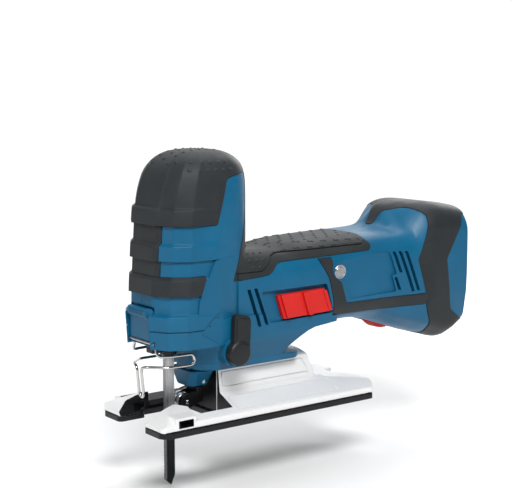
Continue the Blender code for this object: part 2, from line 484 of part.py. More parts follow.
# ---- wire guard -----------------------------------------------------------------
def tube_path(name, pts, r, mat, sides=2):
    cu = bpy.data.curves.new(name, 'CURVE')
    cu.dimensions = '3D'
    cu.bevel_depth = r * MM
    cu.bevel_resolution = sides
    cu.use_fill_caps = True
    sp = cu.splines.new('POLY')
    sp.points.add(len(pts) - 1)
    for p, q in zip(sp.points, pts):
        p.co = (q[0] * MM, q[1] * MM, q[2] * MM, 1)
    cu.materials.append(mat)
    ob = bpy.data.objects.new(name, cu)
    bpy.context.scene.collection.objects.link(ob)
    return ob

def rounded(pts, r, n=4):
    """round the corners of a 3-D polyline"""
    out = [pts[0]]
    for i in range(1, len(pts) - 1):
        p0, p1, p2 = Vector(pts[i - 1]), Vector(pts[i]), Vector(pts[i + 1])
        d1, d2 = (p0 - p1), (p2 - p1)
        t = min(r, d1.length * 0.45, d2.length * 0.45)
        a, b = p1 + d1.normalized() * t, p1 + d2.normalized() * t
        for k in range(n + 1):
            s = k / n
            out.append(tuple(a * (1 - s) ** 2 + p1 * 2 * s * (1 - s) + b * s * s))
    out.append(pts[-1])
    return out

# half path from the bottom loop: up the front leg, out and back along the side,
# round the end and forward again, then up into its seat under the head
half = [(77.2, 0.0, 18.0), (77.6, 2.6, 20.5), (79.3, 2.6, 38.6), (77.5, 9.0, 39.6), (68.0, 17.4, 39.4), (50.5, 18.0, 39.2), (48.3, 18.0, 42.6),
        (50.5, 18.0, 46.2), (66.0, 17.6, 46.4), (74.5, 14.6, 46.8), (74.5, 12.6, 51.4)]
full = [(x, -y, z) for x, y, z in reversed(half[1:])] + half
wire = tube_path("wire_guard", rounded(full, 3.0, 3), 0.95, material("wire_chrome", (0.75, 0.75, 0.76), 0.2, 1.0))

# ---- controls --------------------------------------------------------------------
red = material("control_red", RED, 0.38)
SL = [(-7.2, 80.0), (-47.1, 80.9), (-52.6, 65.0), (-12.6, 63.9)]
for s, tag in ((1, "left"), (-1, "right")):
    ob = finish("switch_slider_" + tag, side(SL, s * 29.4, s * 33.0), mat=red, origin=(-30, s * 30, 72))
    for i, x in enumerate((-9.6, -29.5)):
        add(ob, side([(x, 80.6 - 0.02 * i), (x - 3.2, 80.6), (x - 8.6, 64.6), (x - 5.4, 64.6)], s * 30.5, s * 34.4), "cut_ridge_%s%d" % (tag, i))
finish("switch_link", side([(-25.6, 67.4), (-20.4, 67.4), (-20.4, 71.4), (-25.6, 71.4)], -29.0, 29.0), mat=material("link_plastic", BLACK, 0.5), origin=(-23, 0, 69))

LX, LZ = LEVER_PIVOT
lever = finish("orbital_lever", rod('Y', 31.8, 38.2, LX, LZ, 8.2, 28), mat=material("lever_black", BLACK, 0.5), origin=(LX, 32, LZ))
add(lever, side([(LX - 8.0, LZ + 2), (LX - 9.0, LZ + 20.6), (LX - 7.4, LZ + 23.4), (LX + 2.2, LZ + 25.4), (LX + 3.8, LZ + 23.6), (LX + 4.4, LZ + 2)], 32.4, 36.6), "cut_lever_arm")
add(lever, rod('Y', 25.4, 33.0, LX, LZ, 3.0, 20), "cut_lever_stub")

RX, RZ = RELEASE_PIVOT
rel = finish("blade_release_lever", side([(75.6, 54.0), (78.8, 53.2), (79.0, 66.8), (82.0, 69.6), (82.0, 76.2), (77.5, 77.6), (75.6, 75.4)], -13.2, 13.2),
             mat=blue, origin=(RX, 0, RZ))
cut(rel, rod('Y', -20, 20, RX, RZ, 1.5, 16), "cut_release_bore")
pinr = finish("release_lever_pin", rod('Y', -15.6, 15.6, RX, RZ, 1.2, 16), mat=steel, origin=(RX, 0, RZ))
for h, tag in ((left, "left"), (right, "right")):
    cut(h, rod('Y', -16.2, 16.2, RX, RZ, 1.5, 16), "cut_release_seat_" + tag)

dial = finish("speed_dial", turned([(-5.4, 3.0), (-5.4, DIAL_R - 1.0), (-4.4, DIAL_R), (4.4, DIAL_R), (5.4, DIAL_R - 1.0), (5.4, 3.0)], 'Y', DIAL_C[0], DIAL_C[1], 40),
              mat=red, origin=(DIAL_C[0], 0, DIAL_C[1]))
finish("dial_axle", rod('Y', -8.5, 8.5, DIAL_C[0], DIAL_C[1], 2.6, 16), mat=steel, origin=(DIAL_C[0], 0, DIAL_C[1]))

# ---- electrics ---------------------------------------------------------------------
finish("switch_module", box(-22, -4, -11, 11, 47, 62), mat=material("switch_black", BLACK, 0.45))
finish("control_board", box(-150, -108, -21, 21, 104.0, 105.8), mat=material("pcb_green", GREEN, 0.4))
term = finish("battery_terminal_block", box(-179.5, -166.0, -19, 19, 62, 112), mat=material("terminal_black", BLACK, 0.5))
for i, (y, w) in enumerate(((-9.0, 1.0), (9.0, 1.0))):
    cut(term, box(-185, -171.0, y - 2.4, y + 2.4, 66, 108), "cut_terminal_%d" % i)
    finish("contact_blade_%d" % (i + 1), box(-179.0, -171.3, y - w / 2, y + w / 2, 70, 100), mat=material("contact_%d" % i, BRASS, 0.25, 1.0))
for s, tag in ((1, "left"), (-1, "right")):
    rail = finish("battery_rail_" + tag, cross([(s * 26.6, 48), (s * 26.6, 120), (s * 20.6, 120), (s * 20.6, 117), (s * 24.0, 117), (s * 24.0, 48)], -179.6, -171.4),
                  mat=material("rail_steel_" + tag, DARK, 0.4, 0.8))
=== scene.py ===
# Looks for the cordless jigsaw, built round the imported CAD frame.
# Lengths in the shape code are millimetres in the CAD frame (+X forward, +Y left, +Z up); MM turns them into metres.
import bpy, bmesh, math
from mathutils import Vector, Matrix
from mathutils.bvhtree import BVHTree


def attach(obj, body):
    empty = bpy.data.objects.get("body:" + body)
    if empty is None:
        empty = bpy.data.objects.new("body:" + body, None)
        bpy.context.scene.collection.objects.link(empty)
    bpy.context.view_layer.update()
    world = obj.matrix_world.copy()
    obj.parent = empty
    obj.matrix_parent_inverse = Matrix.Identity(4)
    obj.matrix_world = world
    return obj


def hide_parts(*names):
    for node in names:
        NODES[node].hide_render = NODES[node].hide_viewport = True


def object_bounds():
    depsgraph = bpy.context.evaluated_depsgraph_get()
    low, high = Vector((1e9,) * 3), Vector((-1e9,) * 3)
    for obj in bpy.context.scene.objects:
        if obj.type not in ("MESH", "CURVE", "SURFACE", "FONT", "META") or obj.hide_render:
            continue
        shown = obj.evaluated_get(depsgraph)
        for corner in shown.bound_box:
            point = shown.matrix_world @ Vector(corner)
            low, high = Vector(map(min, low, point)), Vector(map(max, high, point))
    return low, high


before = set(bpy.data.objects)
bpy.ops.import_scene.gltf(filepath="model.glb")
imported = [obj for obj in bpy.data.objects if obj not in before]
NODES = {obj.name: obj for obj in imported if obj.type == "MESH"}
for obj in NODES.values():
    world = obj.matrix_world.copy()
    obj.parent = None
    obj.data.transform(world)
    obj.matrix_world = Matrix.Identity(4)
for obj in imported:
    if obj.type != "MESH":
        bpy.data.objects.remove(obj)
CAD_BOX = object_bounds()
MM = 0.001
SCENE = bpy.context.scene

# =============================== materials =====================================
def lin(c):
    return tuple((v / 12.92) if v <= 0.04045 else ((v + 0.055) / 1.055) ** 2.4 for v in c)

class Mat:
    """A Principled material with helper calls that add its procedural detail."""
    def __init__(self, name, rough=0.5, metal=0.0, spec=0.5):
        self.m = bpy.data.materials.new(name)
        self.m.use_nodes = True
        self.t = self.m.node_tree
        self.b = self.t.nodes["Principled BSDF"]
        self.b.inputs["Metallic"].default_value = metal
        self.b.inputs["Roughness"].default_value = rough
        self.b.inputs["Specular IOR Level"].default_value = spec
        self.co = self.node("ShaderNodeTexCoord").outputs["Object"]
        self.normal = None
    def node(self, kind, **kw):
        n = self.t.nodes.new(kind)
        for k, v in kw.items():
            setattr(n, k, v)
        return n
    def link(self, a, b):
        self.t.links.new(a, b)
    def noise(self, scale, detail=3.0, rough=0.55, stretch=None, dist=0.0):
        n = self.node("ShaderNodeTexNoise")
        n.inputs["Scale"].default_value = scale
        n.inputs["Detail"].default_value = detail
        n.inputs["Roughness"].default_value = rough
        n.inputs["Distortion"].default_value = dist
        src = self.co
        if stretch:
            mp = self.node("ShaderNodeMapping")
            mp.inputs["Scale"].default_value = stretch
            self.link(self.co, mp.inputs["Vector"])
            src = mp.outputs["Vector"]
        self.link(src, n.inputs["Vector"])
        return n.outputs["Fac"]
    def ramp(self, fac, stops):
        r = self.node("ShaderNodeValToRGB")
        el = r.color_ramp.elements
        el[0].position, el[0].color = stops[0][0], (*stops[0][1], 1)
        el[1].position, el[1].color = stops[-1][0], (*stops[-1][1], 1)
        for p, c in stops[1:-1]:
            e = el.new(p)
            e.color = (*c, 1)
        self.link(fac, r.inputs["Fac"])
        return r.outputs["Color"]
    def mixc(self, fac, a, b, mode='MIX', amount=None):
        n = self.node("ShaderNodeMix", data_type='RGBA', blend_type=mode)
        if amount is not None:
            n.inputs[0].default_value = amount
        if fac is not None:
            self.link(fac, n.inputs[0])
        for v, s in ((a, 6), (b, 7)):
            if isinstance(v, tuple):
                n.inputs[s].default_value = (*v, 1)
            else:
                self.link(v, n.inputs[s])
        return n.outputs[2]
    def to(self, fac, lo, hi, a=0.0, b=1.0):
        n = self.node("ShaderNodeMapRange")
        n.inputs["From Min"].default_value = a
        n.inputs["From Max"].default_value = b
        n.inputs["To Min"].default_value = lo
        n.inputs["To Max"].default_value = hi
        self.link(fac, n.inputs["Value"])
        return n.outputs["Result"]
    def color(self, out):
        self.link(out, self.b.inputs["Base Color"])
    def rough(self, out):
        self.link(out, self.b.inputs["Roughness"])
    def edge(self, radius=0.5, samples=4):
        n = self.node("ShaderNodeBevel", samples=samples)
        n.inputs["Radius"].default_value = radius * MM
        self.normal = n.outputs["Normal"]
        return self
    def bump(self, fac, dist_mm, strength=1.0):
        n = self.node("ShaderNodeBump")
        n.inputs["Strength"].default_value = strength
        n.inputs["Distance"].default_value = dist_mm * MM
        self.link(fac, n.inputs["Height"])
        if self.normal is not None:
            self.link(self.normal, n.inputs["Normal"])
        self.normal = n.outputs["Normal"]
        return self
    def done(self):
        if self.normal is not None:
            self.link(self.normal, self.b.inputs["Normal"])
        return self.m

def plastic(name, srgb, rough, grain=0.045, edge=0.5, var=0.10, grain_scale=1500.0):
    c = lin(srgb)
    m = Mat(name, rough, spec=0.30)
    big = m.noise(26.0, 4.0)
    dark = tuple(v * (1 - var) for v in c)
    lite = tuple(min(1, v * (1 + var) + 0.002) for v in c)
    col = m.ramp(big, [(0.30, dark), (0.52, c), (0.74, lite)])
    speck = m.noise(grain_scale, 2.0)
    col = m.mixc(m.to(speck, 0.0, 0.22, 0.35, 0.75), col, tuple(min(1, v * 1.25 + 0.004) for v in c))
    m.color(col)
    m.rough(m.to(m.noise(90.0, 5.0), rough - 0.05, rough + 0.06, 0.3, 0.7))
    m.edge(edge)
    m.bump(speck, grain)
    m.bump(m.noise(12.0, 2.0), 0.25, 0.5)
    return m.done()

def rubber_mat(name, srgb=(0.128, 0.145, 0.155), rough=0.56, edge=0.6):
    c = lin(srgb)
    m = Mat(name, rough, spec=0.26)
    dust = m.noise(38.0, 6.0, 0.65)
    fine = m.noise(2100.0, 2.0)
    col = m.ramp(dust, [(0.28, tuple(v * 0.82 for v in c)), (0.5, c), (0.78, tuple(v * 1.30 + 0.003 for v in c))])
    col = m.mixc(m.to(fine, 0.0, 0.30, 0.45, 0.8), col, tuple(v * 1.9 + 0.006 for v in c))
    m.color(col)
    m.rough(m.to(dust, rough - 0.07, rough + 0.08, 0.3, 0.7))
    m.b.inputs["Sheen Weight"].default_value = 0.04
    m.b.inputs["Sheen Roughness"].default_value = 0.5
    m.edge(edge)
    m.bump(fine, 0.06)
    return m.done()

def metal(name, srgb, rough, metallic=1.0, grain=(1.0, 1.0, 1.0), scale=400.0, bump=0.02, edge=0.3, var=0.12, wear=0.10):
    c = lin(srgb)
    m = Mat(name, rough, metallic)
    g = m.noise(scale, 4.0, 0.6, stretch=grain)
    cloud = m.noise(45.0, 4.0)
    col = m.ramp(g, [(0.30, tuple(v * (1 - var) for v in c)), (0.70, tuple(min(1, v * (1 + var)) for v in c))])
    col = m.mixc(m.to(cloud, 0.0, wear * 2, 0.35, 0.7), col, tuple(v * 0.72 for v in c))
    m.color(col)
    m.rough(m.to(g, max(0.04, rough - 0.07), rough + 0.09, 0.3, 0.7))
    m.edge(edge)
    m.bump(g, bump)
    return m.done()

M_BLUE = plastic("housing_blue", (0.020, 0.335, 0.470), 0.42, grain=0.03, edge=0.5)
M_RUBBER = rubber_mat("rubber_black")
M_PAD = rubber_mat("rubber_pad", (0.128, 0.143, 0.150), 0.60)
M_BLACK = plastic("black_plastic", (0.095, 0.105, 0.112), 0.42, grain=0.03, edge=0.5, var=0.15)
M_SHOE = plastic("shoe_black", (0.030, 0.036, 0.044), 0.36, grain=0.02, edge=0.5, var=0.18)
M_RED = plastic("red_plastic", (0.77, 0.095, 0.072), 0.36, grain=0.03, edge=0.45, var=0.07)
M_ALU = metal("alloy_blasted", (0.93, 0.93, 0.93), 0.38, 0.30, scale=1700.0, bump=0.028, edge=0.45, var=0.05, wear=0.04)
M_CAST = metal("alloy_cast", (0.60, 0.61, 0.63), 0.46, 0.85, scale=900.0, bump=0.05, edge=0.5)
M_STEEL = metal("steel_ground", (0.66, 0.67, 0.69), 0.26, 1.0, grain=(1.0, 8.0, 8.0), scale=260.0, bump=0.01)
M_TURNED = metal("steel_turned", (0.70, 0.71, 0.73), 0.20, 1.0, grain=(1.0, 12.0, 1.0), scale=300.0, bump=0.01)
M_OXIDE = metal("steel_black_oxide", (0.19, 0.19, 0.20), 0.38, 0.9, scale=700.0, bump=0.02, edge=0.35, var=0.25)
M_WIRE = metal("wire_bright", (0.78, 0.78, 0.77), 0.17, 1.0, grain=(1.0, 1.0, 1.0), scale=350.0, bump=0.006, edge=0.1)
M_COPPER = metal("copper_winding", (0.72, 0.42, 0.26), 0.32, 1.0, grain=(9.0, 1.0, 1.0), scale=260.0, bump=0.10)
M_BRASS = metal("brass_machined", (0.80, 0.62, 0.34), 0.26, 1.0, grain=(1.0, 1.0, 9.0), scale=240.0, bump=0.01)

def blade_mat():
    """dark tool steel below, ground bright towards the shank"""
    m = Mat("blade_steel", 0.32, 0.9)
    sep = m.node("ShaderNodeSeparateXYZ")
    m.link(m.co, sep.inputs[0])
    up = m.to(sep.outputs["Z"], 0.0, 1.0, 0.001, 0.010)
    tooth = m.to(sep.outputs["X"], 0.0, 0.75, 0.0590, 0.0600)
    grain = m.noise(900.0, 4.0, 0.6, stretch=(1.0, 1.0, 0.06))
    darkc = m.ramp(grain, [(0.3, lin((0.085, 0.095, 0.105))), (0.7, lin((0.16, 0.17, 0.18)))])
    brite = m.ramp(grain, [(0.3, lin((0.58, 0.58, 0.59))), (0.7, lin((0.80, 0.80, 0.80)))])
    col = m.mixc(up, darkc, brite)
    col = m.mixc(tooth, col, lin((0.55, 0.55, 0.56)))
    m.color(col)
    m.rough(m.to(grain, 0.22, 0.42, 0.3, 0.7))
    m.edge(0.12).bump(grain, 0.015)
    return m.done()
M_BLADE = blade_mat()

def board_mat():
    m = Mat("circuit_board", 0.35)
    br = m.node("ShaderNodeTexBrick")
    br.inputs["Scale"].default_value = 240.0
    br.inputs["Color1"].default_value = (*lin((0.06, 0.30, 0.15)), 1)
    br.inputs["Color2"].default_value = (*lin((0.08, 0.36, 0.19)), 1)
    br.inputs["Mortar"].default_value = (*lin((0.62, 0.55, 0.30)), 1)
    br.inputs["Mortar Size"].default_value = 0.012
    m.link(m.co, br.inputs["Vector"])
    m.color(br.outputs["Color"])
    m.bump(m.noise(500.0), 0.02)
    return m.done()
M_BOARD = board_mat()

# =============================== mesh helpers ====================================
def obj_from(name, bm, mat=None):
    bmesh.ops.remove_doubles(bm, verts=bm.verts, dist=1e-4)
    bm.normal_update()
    bmesh.ops.recalc_face_normals(bm, faces=bm.faces)
    if bm.calc_volume(signed=True) < 0:
        bmesh.ops.reverse_faces(bm, faces=bm.faces)
    bmesh.ops.scale(bm, vec=(MM, MM, MM), verts=bm.verts)
    me = bpy.data.meshes.new(name)
    bm.to_mesh(me)
    bm.free()
    ob = bpy.data.objects.new(name, me)
    SCENE.collection.objects.link(ob)
    if mat:
        me.materials.append(mat)
    return ob

def loft(rings):
    bm = bmesh.new()
    loops = [[bm.verts.new(p) for p in r] for r in rings]
    n = len(loops[0])
    for a, b in zip(loops[:-1], loops[1:]):
        for i in range(n):
            bm.faces.new((a[i], a[(i + 1) % n], b[(i + 1) % n], b[i]))
    bm.faces.new(loops[0])
    bm.faces.new(loops[-1])
    return bm

def extrude(pts3, vec):
    bm = bmesh.new()
    f = bm.faces.new([bm.verts.new(p) for p in pts3])
    r = bmesh.ops.extrude_face_region(bm, geom=[f])
    bmesh.ops.translate(bm, vec=vec, verts=[g for g in r["geom"] if isinstance(g, bmesh.types.BMVert)])
    return bm

def side(pts, y0, y1):
    return extrude([(x, y0, z) for x, z in pts], (0, y1 - y0, 0))

def plan(pts, z0, z1):
    return extrude([(x, y, z0) for x, y in pts], (0, 0, z1 - z0))

def cross(pts, x0, x1):
    return extrude([(x0, y, z) for y, z in pts], (x1 - x0, 0, 0))

def box(x0, x1, y0, y1, z0, z1):
    return plan([(x0, y0), (x1, y0), (x1, y1), (x0, y1)], z0, z1)

def circle(cx, cy, r, n, a0=0.0):
    return [(cx + r * math.cos(a0 + 2 * math.pi * i / n), cy + r * math.sin(a0 + 2 * math.pi * i / n)) for i in range(n)]

def rod(axis, a, b, c0, c1, r, n=48):
    p = circle(c0, c1, r, n)
    return cross(p, a, b) if axis == 'X' else (side(p, a, b) if axis == 'Y' else plan(p, a, b))

def turned(profile, axis, c0, c1, n=64):
    """solid of revolution from a profile of (distance along axis, radius); radius 0 at an end closes on the axis"""
    bm = bmesh.new()
    on_axis = profile[0][1] == 0
    rings = []
    for i in range(n):
        t = 2 * math.pi * i / n
        ring = []
        for s, r in profile:
            u, w = c0 + r * math.cos(t), c1 + r * math.sin(t)
            ring.append(bm.verts.new((s, u, w) if axis == 'X' else ((u, s, w) if axis == 'Y' else (u, w, s))))
        rings.append(ring)
    m = len(profile)
    for i in range(n):
        a, b = rings[i], rings[(i + 1) % n]
        for k in range(m if not on_axis else m - 1):
            l = (k + 1) % m
            bm.faces.new((a[k], a[l], b[l], b[k]))
    bmesh.ops.remove_doubles(bm, verts=bm.verts, dist=1e-4)
    bmesh.ops.dissolve_degenerate(bm, edges=bm.edges, dist=1e-5)
    return bm

def grow(pts, d):
    n = len(pts)
    area = sum(pts[i][0] * pts[(i + 1) % n][1] - pts[(i + 1) % n][0] * pts[i][1] for i in range(n))
    sgn = 1.0 if area > 0 else -1.0
    out = []
    for i in range(n):
        p0, p1, p2 = Vector(pts[i - 1]), Vector(pts[i]), Vector(pts[(i + 1) % n])
        e1, e2 = (p1 - p0).normalized(), (p2 - p1).normalized()
        n1, n2 = Vector((e1.y, -e1.x)) * sgn, Vector((e2.y, -e2.x)) * sgn
        b = n1 + n2
        k = d / max(0.35, (1 + n1.dot(n2)))
        out.append((p1.x + b.x * k, p1.y + b.y * k))
    return out

def soften(pts, r, n=4):
    """round every corner of a closed 2-D outline; r is one radius or one per corner"""
    out = []
    m = len(pts)
    for i in range(m):
        p0, p1, p2 = Vector(pts[i - 1]), Vector(pts[i]), Vector(pts[(i + 1) % m])
        rr = r[i] if isinstance(r, (list, tuple)) else r
        d1, d2 = p0 - p1, p2 - p1
        t = min(rr, d1.length * 0.46, d2.length * 0.46)
        a, b = p1 + d1.normalized() * t, p1 + d2.normalized() * t
        for k in range(n + 1):
            s = k / n
            q = a * (1 - s) ** 2 + p1 * 2 * s * (1 - s) + b * s * s
            out.append((q.x, q.y))
    return out

def bake(ob):
    dg = bpy.context.evaluated_depsgraph_get()
    me = bpy.data.meshes.new_from_object(ob.evaluated_get(dg))
    ob.modifiers.clear()
    old = ob.data
    ob.data = me
    bpy.data.meshes.remove(old)
    return ob

def boolean(ob, cutter, op='DIFFERENCE', keep=False):
    if isinstance(cutter, bmesh.types.BMesh):
        cutter = obj_from("cut", cutter)
    m = ob.modifiers.new("b", 'BOOLEAN')
    m.operation, m.object, m.solver = op, cutter, 'EXACT'
    bake(ob)
    if not keep:
        bpy.data.objects.remove(cutter, do_unlink=True)
    return ob

def copy_of(ob, name="copy"):
    c = bpy.data.objects.new(name, ob.data.copy())
    SCENE.collection.objects.link(c)
    return c

def tidy(ob, dist=0.02):
    bm = bmesh.new()
    bm.from_mesh(ob.data)
    bmesh.ops.remove_doubles(bm, verts=bm.verts, dist=dist * MM)
    bmesh.ops.dissolve_degenerate(bm, edges=bm.edges, dist=dist * MM * 0.5)
    bmesh.ops.recalc_face_normals(bm, faces=bm.faces)
    bm.to_mesh(ob.data)
    bm.free()
    return ob

def bevel(ob, width, seg=2, angle=35.0, clamp=True):
    m = ob.modifiers.new("bevel", 'BEVEL')
    m.width, m.segments, m.limit_method, m.angle_limit = width * MM, seg, 'ANGLE', math.radians(angle)
    m.use_clamp_overlap = clamp
    m.harden_normals = False
    m.miter_outer = 'MITER_ARC'
    bake(ob)
    return ob

def smooth(ob, angle=32.0, weighted=True):
    ob.data.shade_smooth()
    ob.data.set_sharp_from_angle(angle=math.radians(angle))
    if weighted:
        m = ob.modifiers.new("wn", 'WEIGHTED_NORMAL')
        m.keep_sharp = True
        m.weight = 60
    return ob

def join(name, obs, mat=None):
    """several closed shells in one mesh"""
    bm = bmesh.new()
    for o in obs:
        bm.from_mesh(o.data)
    me = bpy.data.meshes.new(name)
    bm.to_mesh(me)
    bm.free()
    mats = [m for m in obs[0].data.materials]
    for o in obs:
        bpy.data.objects.remove(o, do_unlink=True)
    ob = bpy.data.objects.new(name, me)
    SCENE.collection.objects.link(ob)
    for m in ([mat] if mat else mats):
        me.materials.append(m)
    return ob

def piece(ob, name, body, slot, *nodes):
    ob.name = name
    ob.data.name = name
    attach(ob, body)
    if nodes:
        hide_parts(*nodes)
    return ob

def hermite(rows, t):
    """smooth value at position t along a list of rows whose first entry is the position"""
    if t <= rows[0][0]:
        return rows[0][1:]
    if t >= rows[-1][0]:
        return rows[-1][1:]
    i = max(k for k in range(len(rows) - 1) if rows[k][0] <= t)
    a, b = rows[i], rows[i + 1]
    p, q = rows[max(i - 1, 0)], rows[min(i + 2, len(rows) - 1)]
    h = b[0] - a[0]
    s = (t - a[0]) / h
    out = []
    for j in range(1, len(a)):
        def slope(u, v, w, first, last):
            if first or last:
                return (w[j] - u[j]) / (w[0] - u[0]) if w[0] != u[0] else 0.0
            d1, d2 = (v[j] - u[j]) / (v[0] - u[0]), (w[j] - v[j]) / (w[0] - v[0])
            return 0.0 if d1 * d2 <= 0 else 2 * d1 * d2 / (d1 + d2)
        m0 = slope(p, a, b, i == 0, False)
        m1 = slope(a, b, q, False, i + 2 > len(rows) - 1)
        s2, s3 = s * s, s * s * s
        out.append((2 * s3 - 3 * s2 + 1) * a[j] + (s3 - 2 * s2 + s) * h * m0 + (-2 * s3 + 3 * s2) * b[j] + (s3 - s2) * h * m1)
    return out

# =============================== the housing shapes ===============================
HEAD = [   # z, front X, rear X, half width
    (52.0, 78.0, 4.0, 31.3), (74.4, 77.9, 4.0, 31.5), (97.0, 77.0, 4.0, 31.8), (118.0, 75.8, 4.0, 31.9), (140.0, 74.1, 4.0, 31.6),
    (148.2, 71.8, 4.0, 31.1), (157.4, 68.1, 4.2, 30.0), (164.0, 64.6, 5.6, 28.1), (169.4, 59.6, 9.6, 24.6), (173.0, 54.0, 15.5, 19.4),
    (175.0, 48.0, 22.0, 13.4), (175.7, 42.0, 28.5, 6.5)]
BARREL = [  # x, half width, bottom z, top z
    (-180.0, 37.6, 38.0, 128.6), (-166.0, 37.8, 31.5, 131.2), (-152.0, 37.8, 35.2, 132.6), (-141.0, 37.3, 38.0, 132.6), (-131.0, 36.3, 41.0, 131.2),
    (-126.9, 35.8, 42.2, 129.8), (-123.3, 35.4, 43.4, 126.6), (-120.1, 35.0, 44.4, 122.2), (-116.8, 34.6, 45.4, 117.9), (-112.0, 34.1, 47.2, 115.6), (-105.0, 33.7, 49.5, 114.6), (-91.0, 33.2, 53.4, 114.2),
    (-78.0, 32.9, 54.6, 113.8), (-62.0, 32.5, 54.2, 113.3), (-47.0, 32.1, 53.6, 112.8), (-22.0, 31.7, 52.8, 111.6), (-5.0, 31.2, 52.5, 109.3), (4.0, 30.5, 52.0, 109.6), (22.0, 29.0, 52.0, 111.0)]

def step(z, table):
    """piecewise straight value from (z, value) pairs"""
    if z <= table[0][0]:
        return table[0][1]
    for (a, u), (b, v) in zip(table[:-1], table[1:]):
        if z <= b:
            return u + (v - u) * (z - a) / (b - a) if b > a else v
    return table[-1][1]

# band relief on the front of the head: skirt, rubber band, blue band, cap band
RELIEF = [(52.0, 1.4), (64.0, 2.2), (72.2, 2.8), (72.9, 2.6), (74.5, -1.3), (85.2, -1.3), (85.5, 0.1), (95.8, 0.0), (97.4, -1.5),
          (107.5, -1.6), (107.8, 0.0), (116.9, 0.0), (118.7, -1.6), (129.3, -1.6), (129.6, 0.0), (139.2, 0.0), (141.0, -1.7), (150.0, -0.8), (160.0, 0.0)]
RELIEF_W = [(z, min(v, 0.25)) for z, v in RELIEF]

def head_section(z, xf, xr, w, rw=0.0):
    """outline of the head at height z; rw is the relief of the side faces, which fades out to the rear above the slanted step"""
    s = (xf - xr) / 73.0
    wf, wr = w + rw, w + (rw if z < 107.7 else 0.0)
    half = [(xf, 13.9 * wf / 31.8), (xf - 2.2 * s, 16.3 * wf / 31.8), (xf - 6.6 * s, 24.8 * wf / 31.8), (xf - 17.0 * s, 0.972 * wf),
            (xf - 37.0 * s, wr), (xr + 17.0 * s, 0.90 * w), (xr + 6.5 * s, 0.64 * w), (xr, 0.37 * w)]
    rad = [0.7, 0.7, 0.8, 1.0, 3.0, 6.0, 5.0, 4.0]
    pts = half + [(x, -y) for x, y in reversed(half)]
    rr = [v * s for v in rad] + [v * s for v in reversed(rad)]
    return [(x, y, z) for x, y in soften(pts, rr, 2)]

def head_bm(d, relief=True, z0=52.0):
    zs = set()
    z = z0
    while z < 160.0:
        zs.add(round(z, 2))
        z += 4.0
    if relief:
        zs |= {q for q, _ in RELIEF if q > z0}
    zs = sorted(zs | {160.0, 163.0, 166.0, 168.5, 170.5, 172.2, 173.6, 174.6, 175.3, 175.7})
    rings = []
    for z in zs:
        xf, xr, w = hermite(HEAD, z)
        r = step(z, RELIEF) if relief else (step(z, [(52, 1.4), (72, 2.6), (74.4, 0.0)]))
        rw = step(z, RELIEF_W) if relief else 0.0
        zz = z + (d * max(0.0, (z - 160.0) / 15.8) if z > 160 else 0.0)
        rings.append(head_section(zz, xf + r + d, xr - d, w + d, rw))
    return loft(rings)

def barrel_section(x, w, zb, zt):
    low = 60.0 if zb > 50 else zb + 9.0
    top = lambda back: min(zt, zt - hermite(BARREL, x)[2] + hermite(BARREL, min(22.0, x + back))[2])     # the flare sweeps back towards the sides
    h = [(0.16 * w, zt), (0.56 * w, top(9.0) - 0.02), (0.83 * w, top(15.0) - 3.4), (w, top(19.0) - 13.0), (w + 0.3, 82.0), (w - 0.2, 67.0), (w - 3.2, low), (0.56 * w, zb)]
    rad = [3.0, 7.0, 7.0, 9.0, 12.0, 3.0, 4.0, 6.0]
    pts = h + [(-y, z) for y, z in reversed(h)]
    return [(x, y, z) for y, z in soften(pts, rad + rad[::-1], 4)]

def barrel_bm(d, x0=-180.0, x1=22.0):
    xs = []
    x = x0
    while x < x1 - 0.01:
        xs.append(x)
        x += 1.6 if -135 < x < -108 else 4.0
    xs.append(x1)
    rings = []
    for x in xs:
        w, zb, zt = hermite(BARREL, x)
        rings.append(barrel_section(x, w + d, zb - d, zt + d))
    return loft(rings)

def lower_bm(d=0.0):
    rings = []
    for z, x0, x1, h in [(33.6, -35.4, 47.4, 21.4), (34.2, -36.0, 47.8, 21.9), (37.2, -36.0, 48.0, 22.2), (38.2, -24.8, 48.0, 22.6), (42.7, -26.2, 48.0, 25.0),
                         (46.0, -29.8, 48.0, 27.0), (50.0, -35.0, 49.0, 29.0), (53.0, -40.0, 50.0, 30.2), (54.8, -46.0, 50.4, 30.4),
                         (55.8, -56.0, 50.6, 30.5), (56.6, -64.0, 50.8, 30.6), (69.0, -64.0, 52.0, 31.0)]:
        cx, cy = 14.0, h * 0.46
        pts = [(x1, h - cy), (x1 - cx, h), (x0 + 4, h), (x0, h - 4), (x0, -h + 4), (x0 + 4, -h), (x1 - cx, -h), (x1, -h + cy)]
        rings.append([(x, y, z) for x, y in soften(pts, [3, 4, 3, 3, 3, 3, 4, 3], 3)])
    return loft(rings)

WALL, SINK, PROUD = 4.2, 1.8, 0.32
head0 = obj_from("env", head_bm(0.0))
PILLAR = [(38.4, 107.7), (41.6, 107.0), (53.2, 82.0), (54.0, 73.6), (53.4, 69.5), (-12, 69.5), (-12, 108.4), (30.0, 108.4)]
pillar = obj_from("pillar", head_bm(0.12, relief=False))
boolean(pillar, side(soften(PILLAR, 1.2, 2), -60, 60), 'INTERSECT')
boolean(head0, pillar, 'UNION')
boolean(head0, barrel_bm(0.0), 'UNION')
boolean(head0, lower_bm(), 'UNION')
envelope = head0

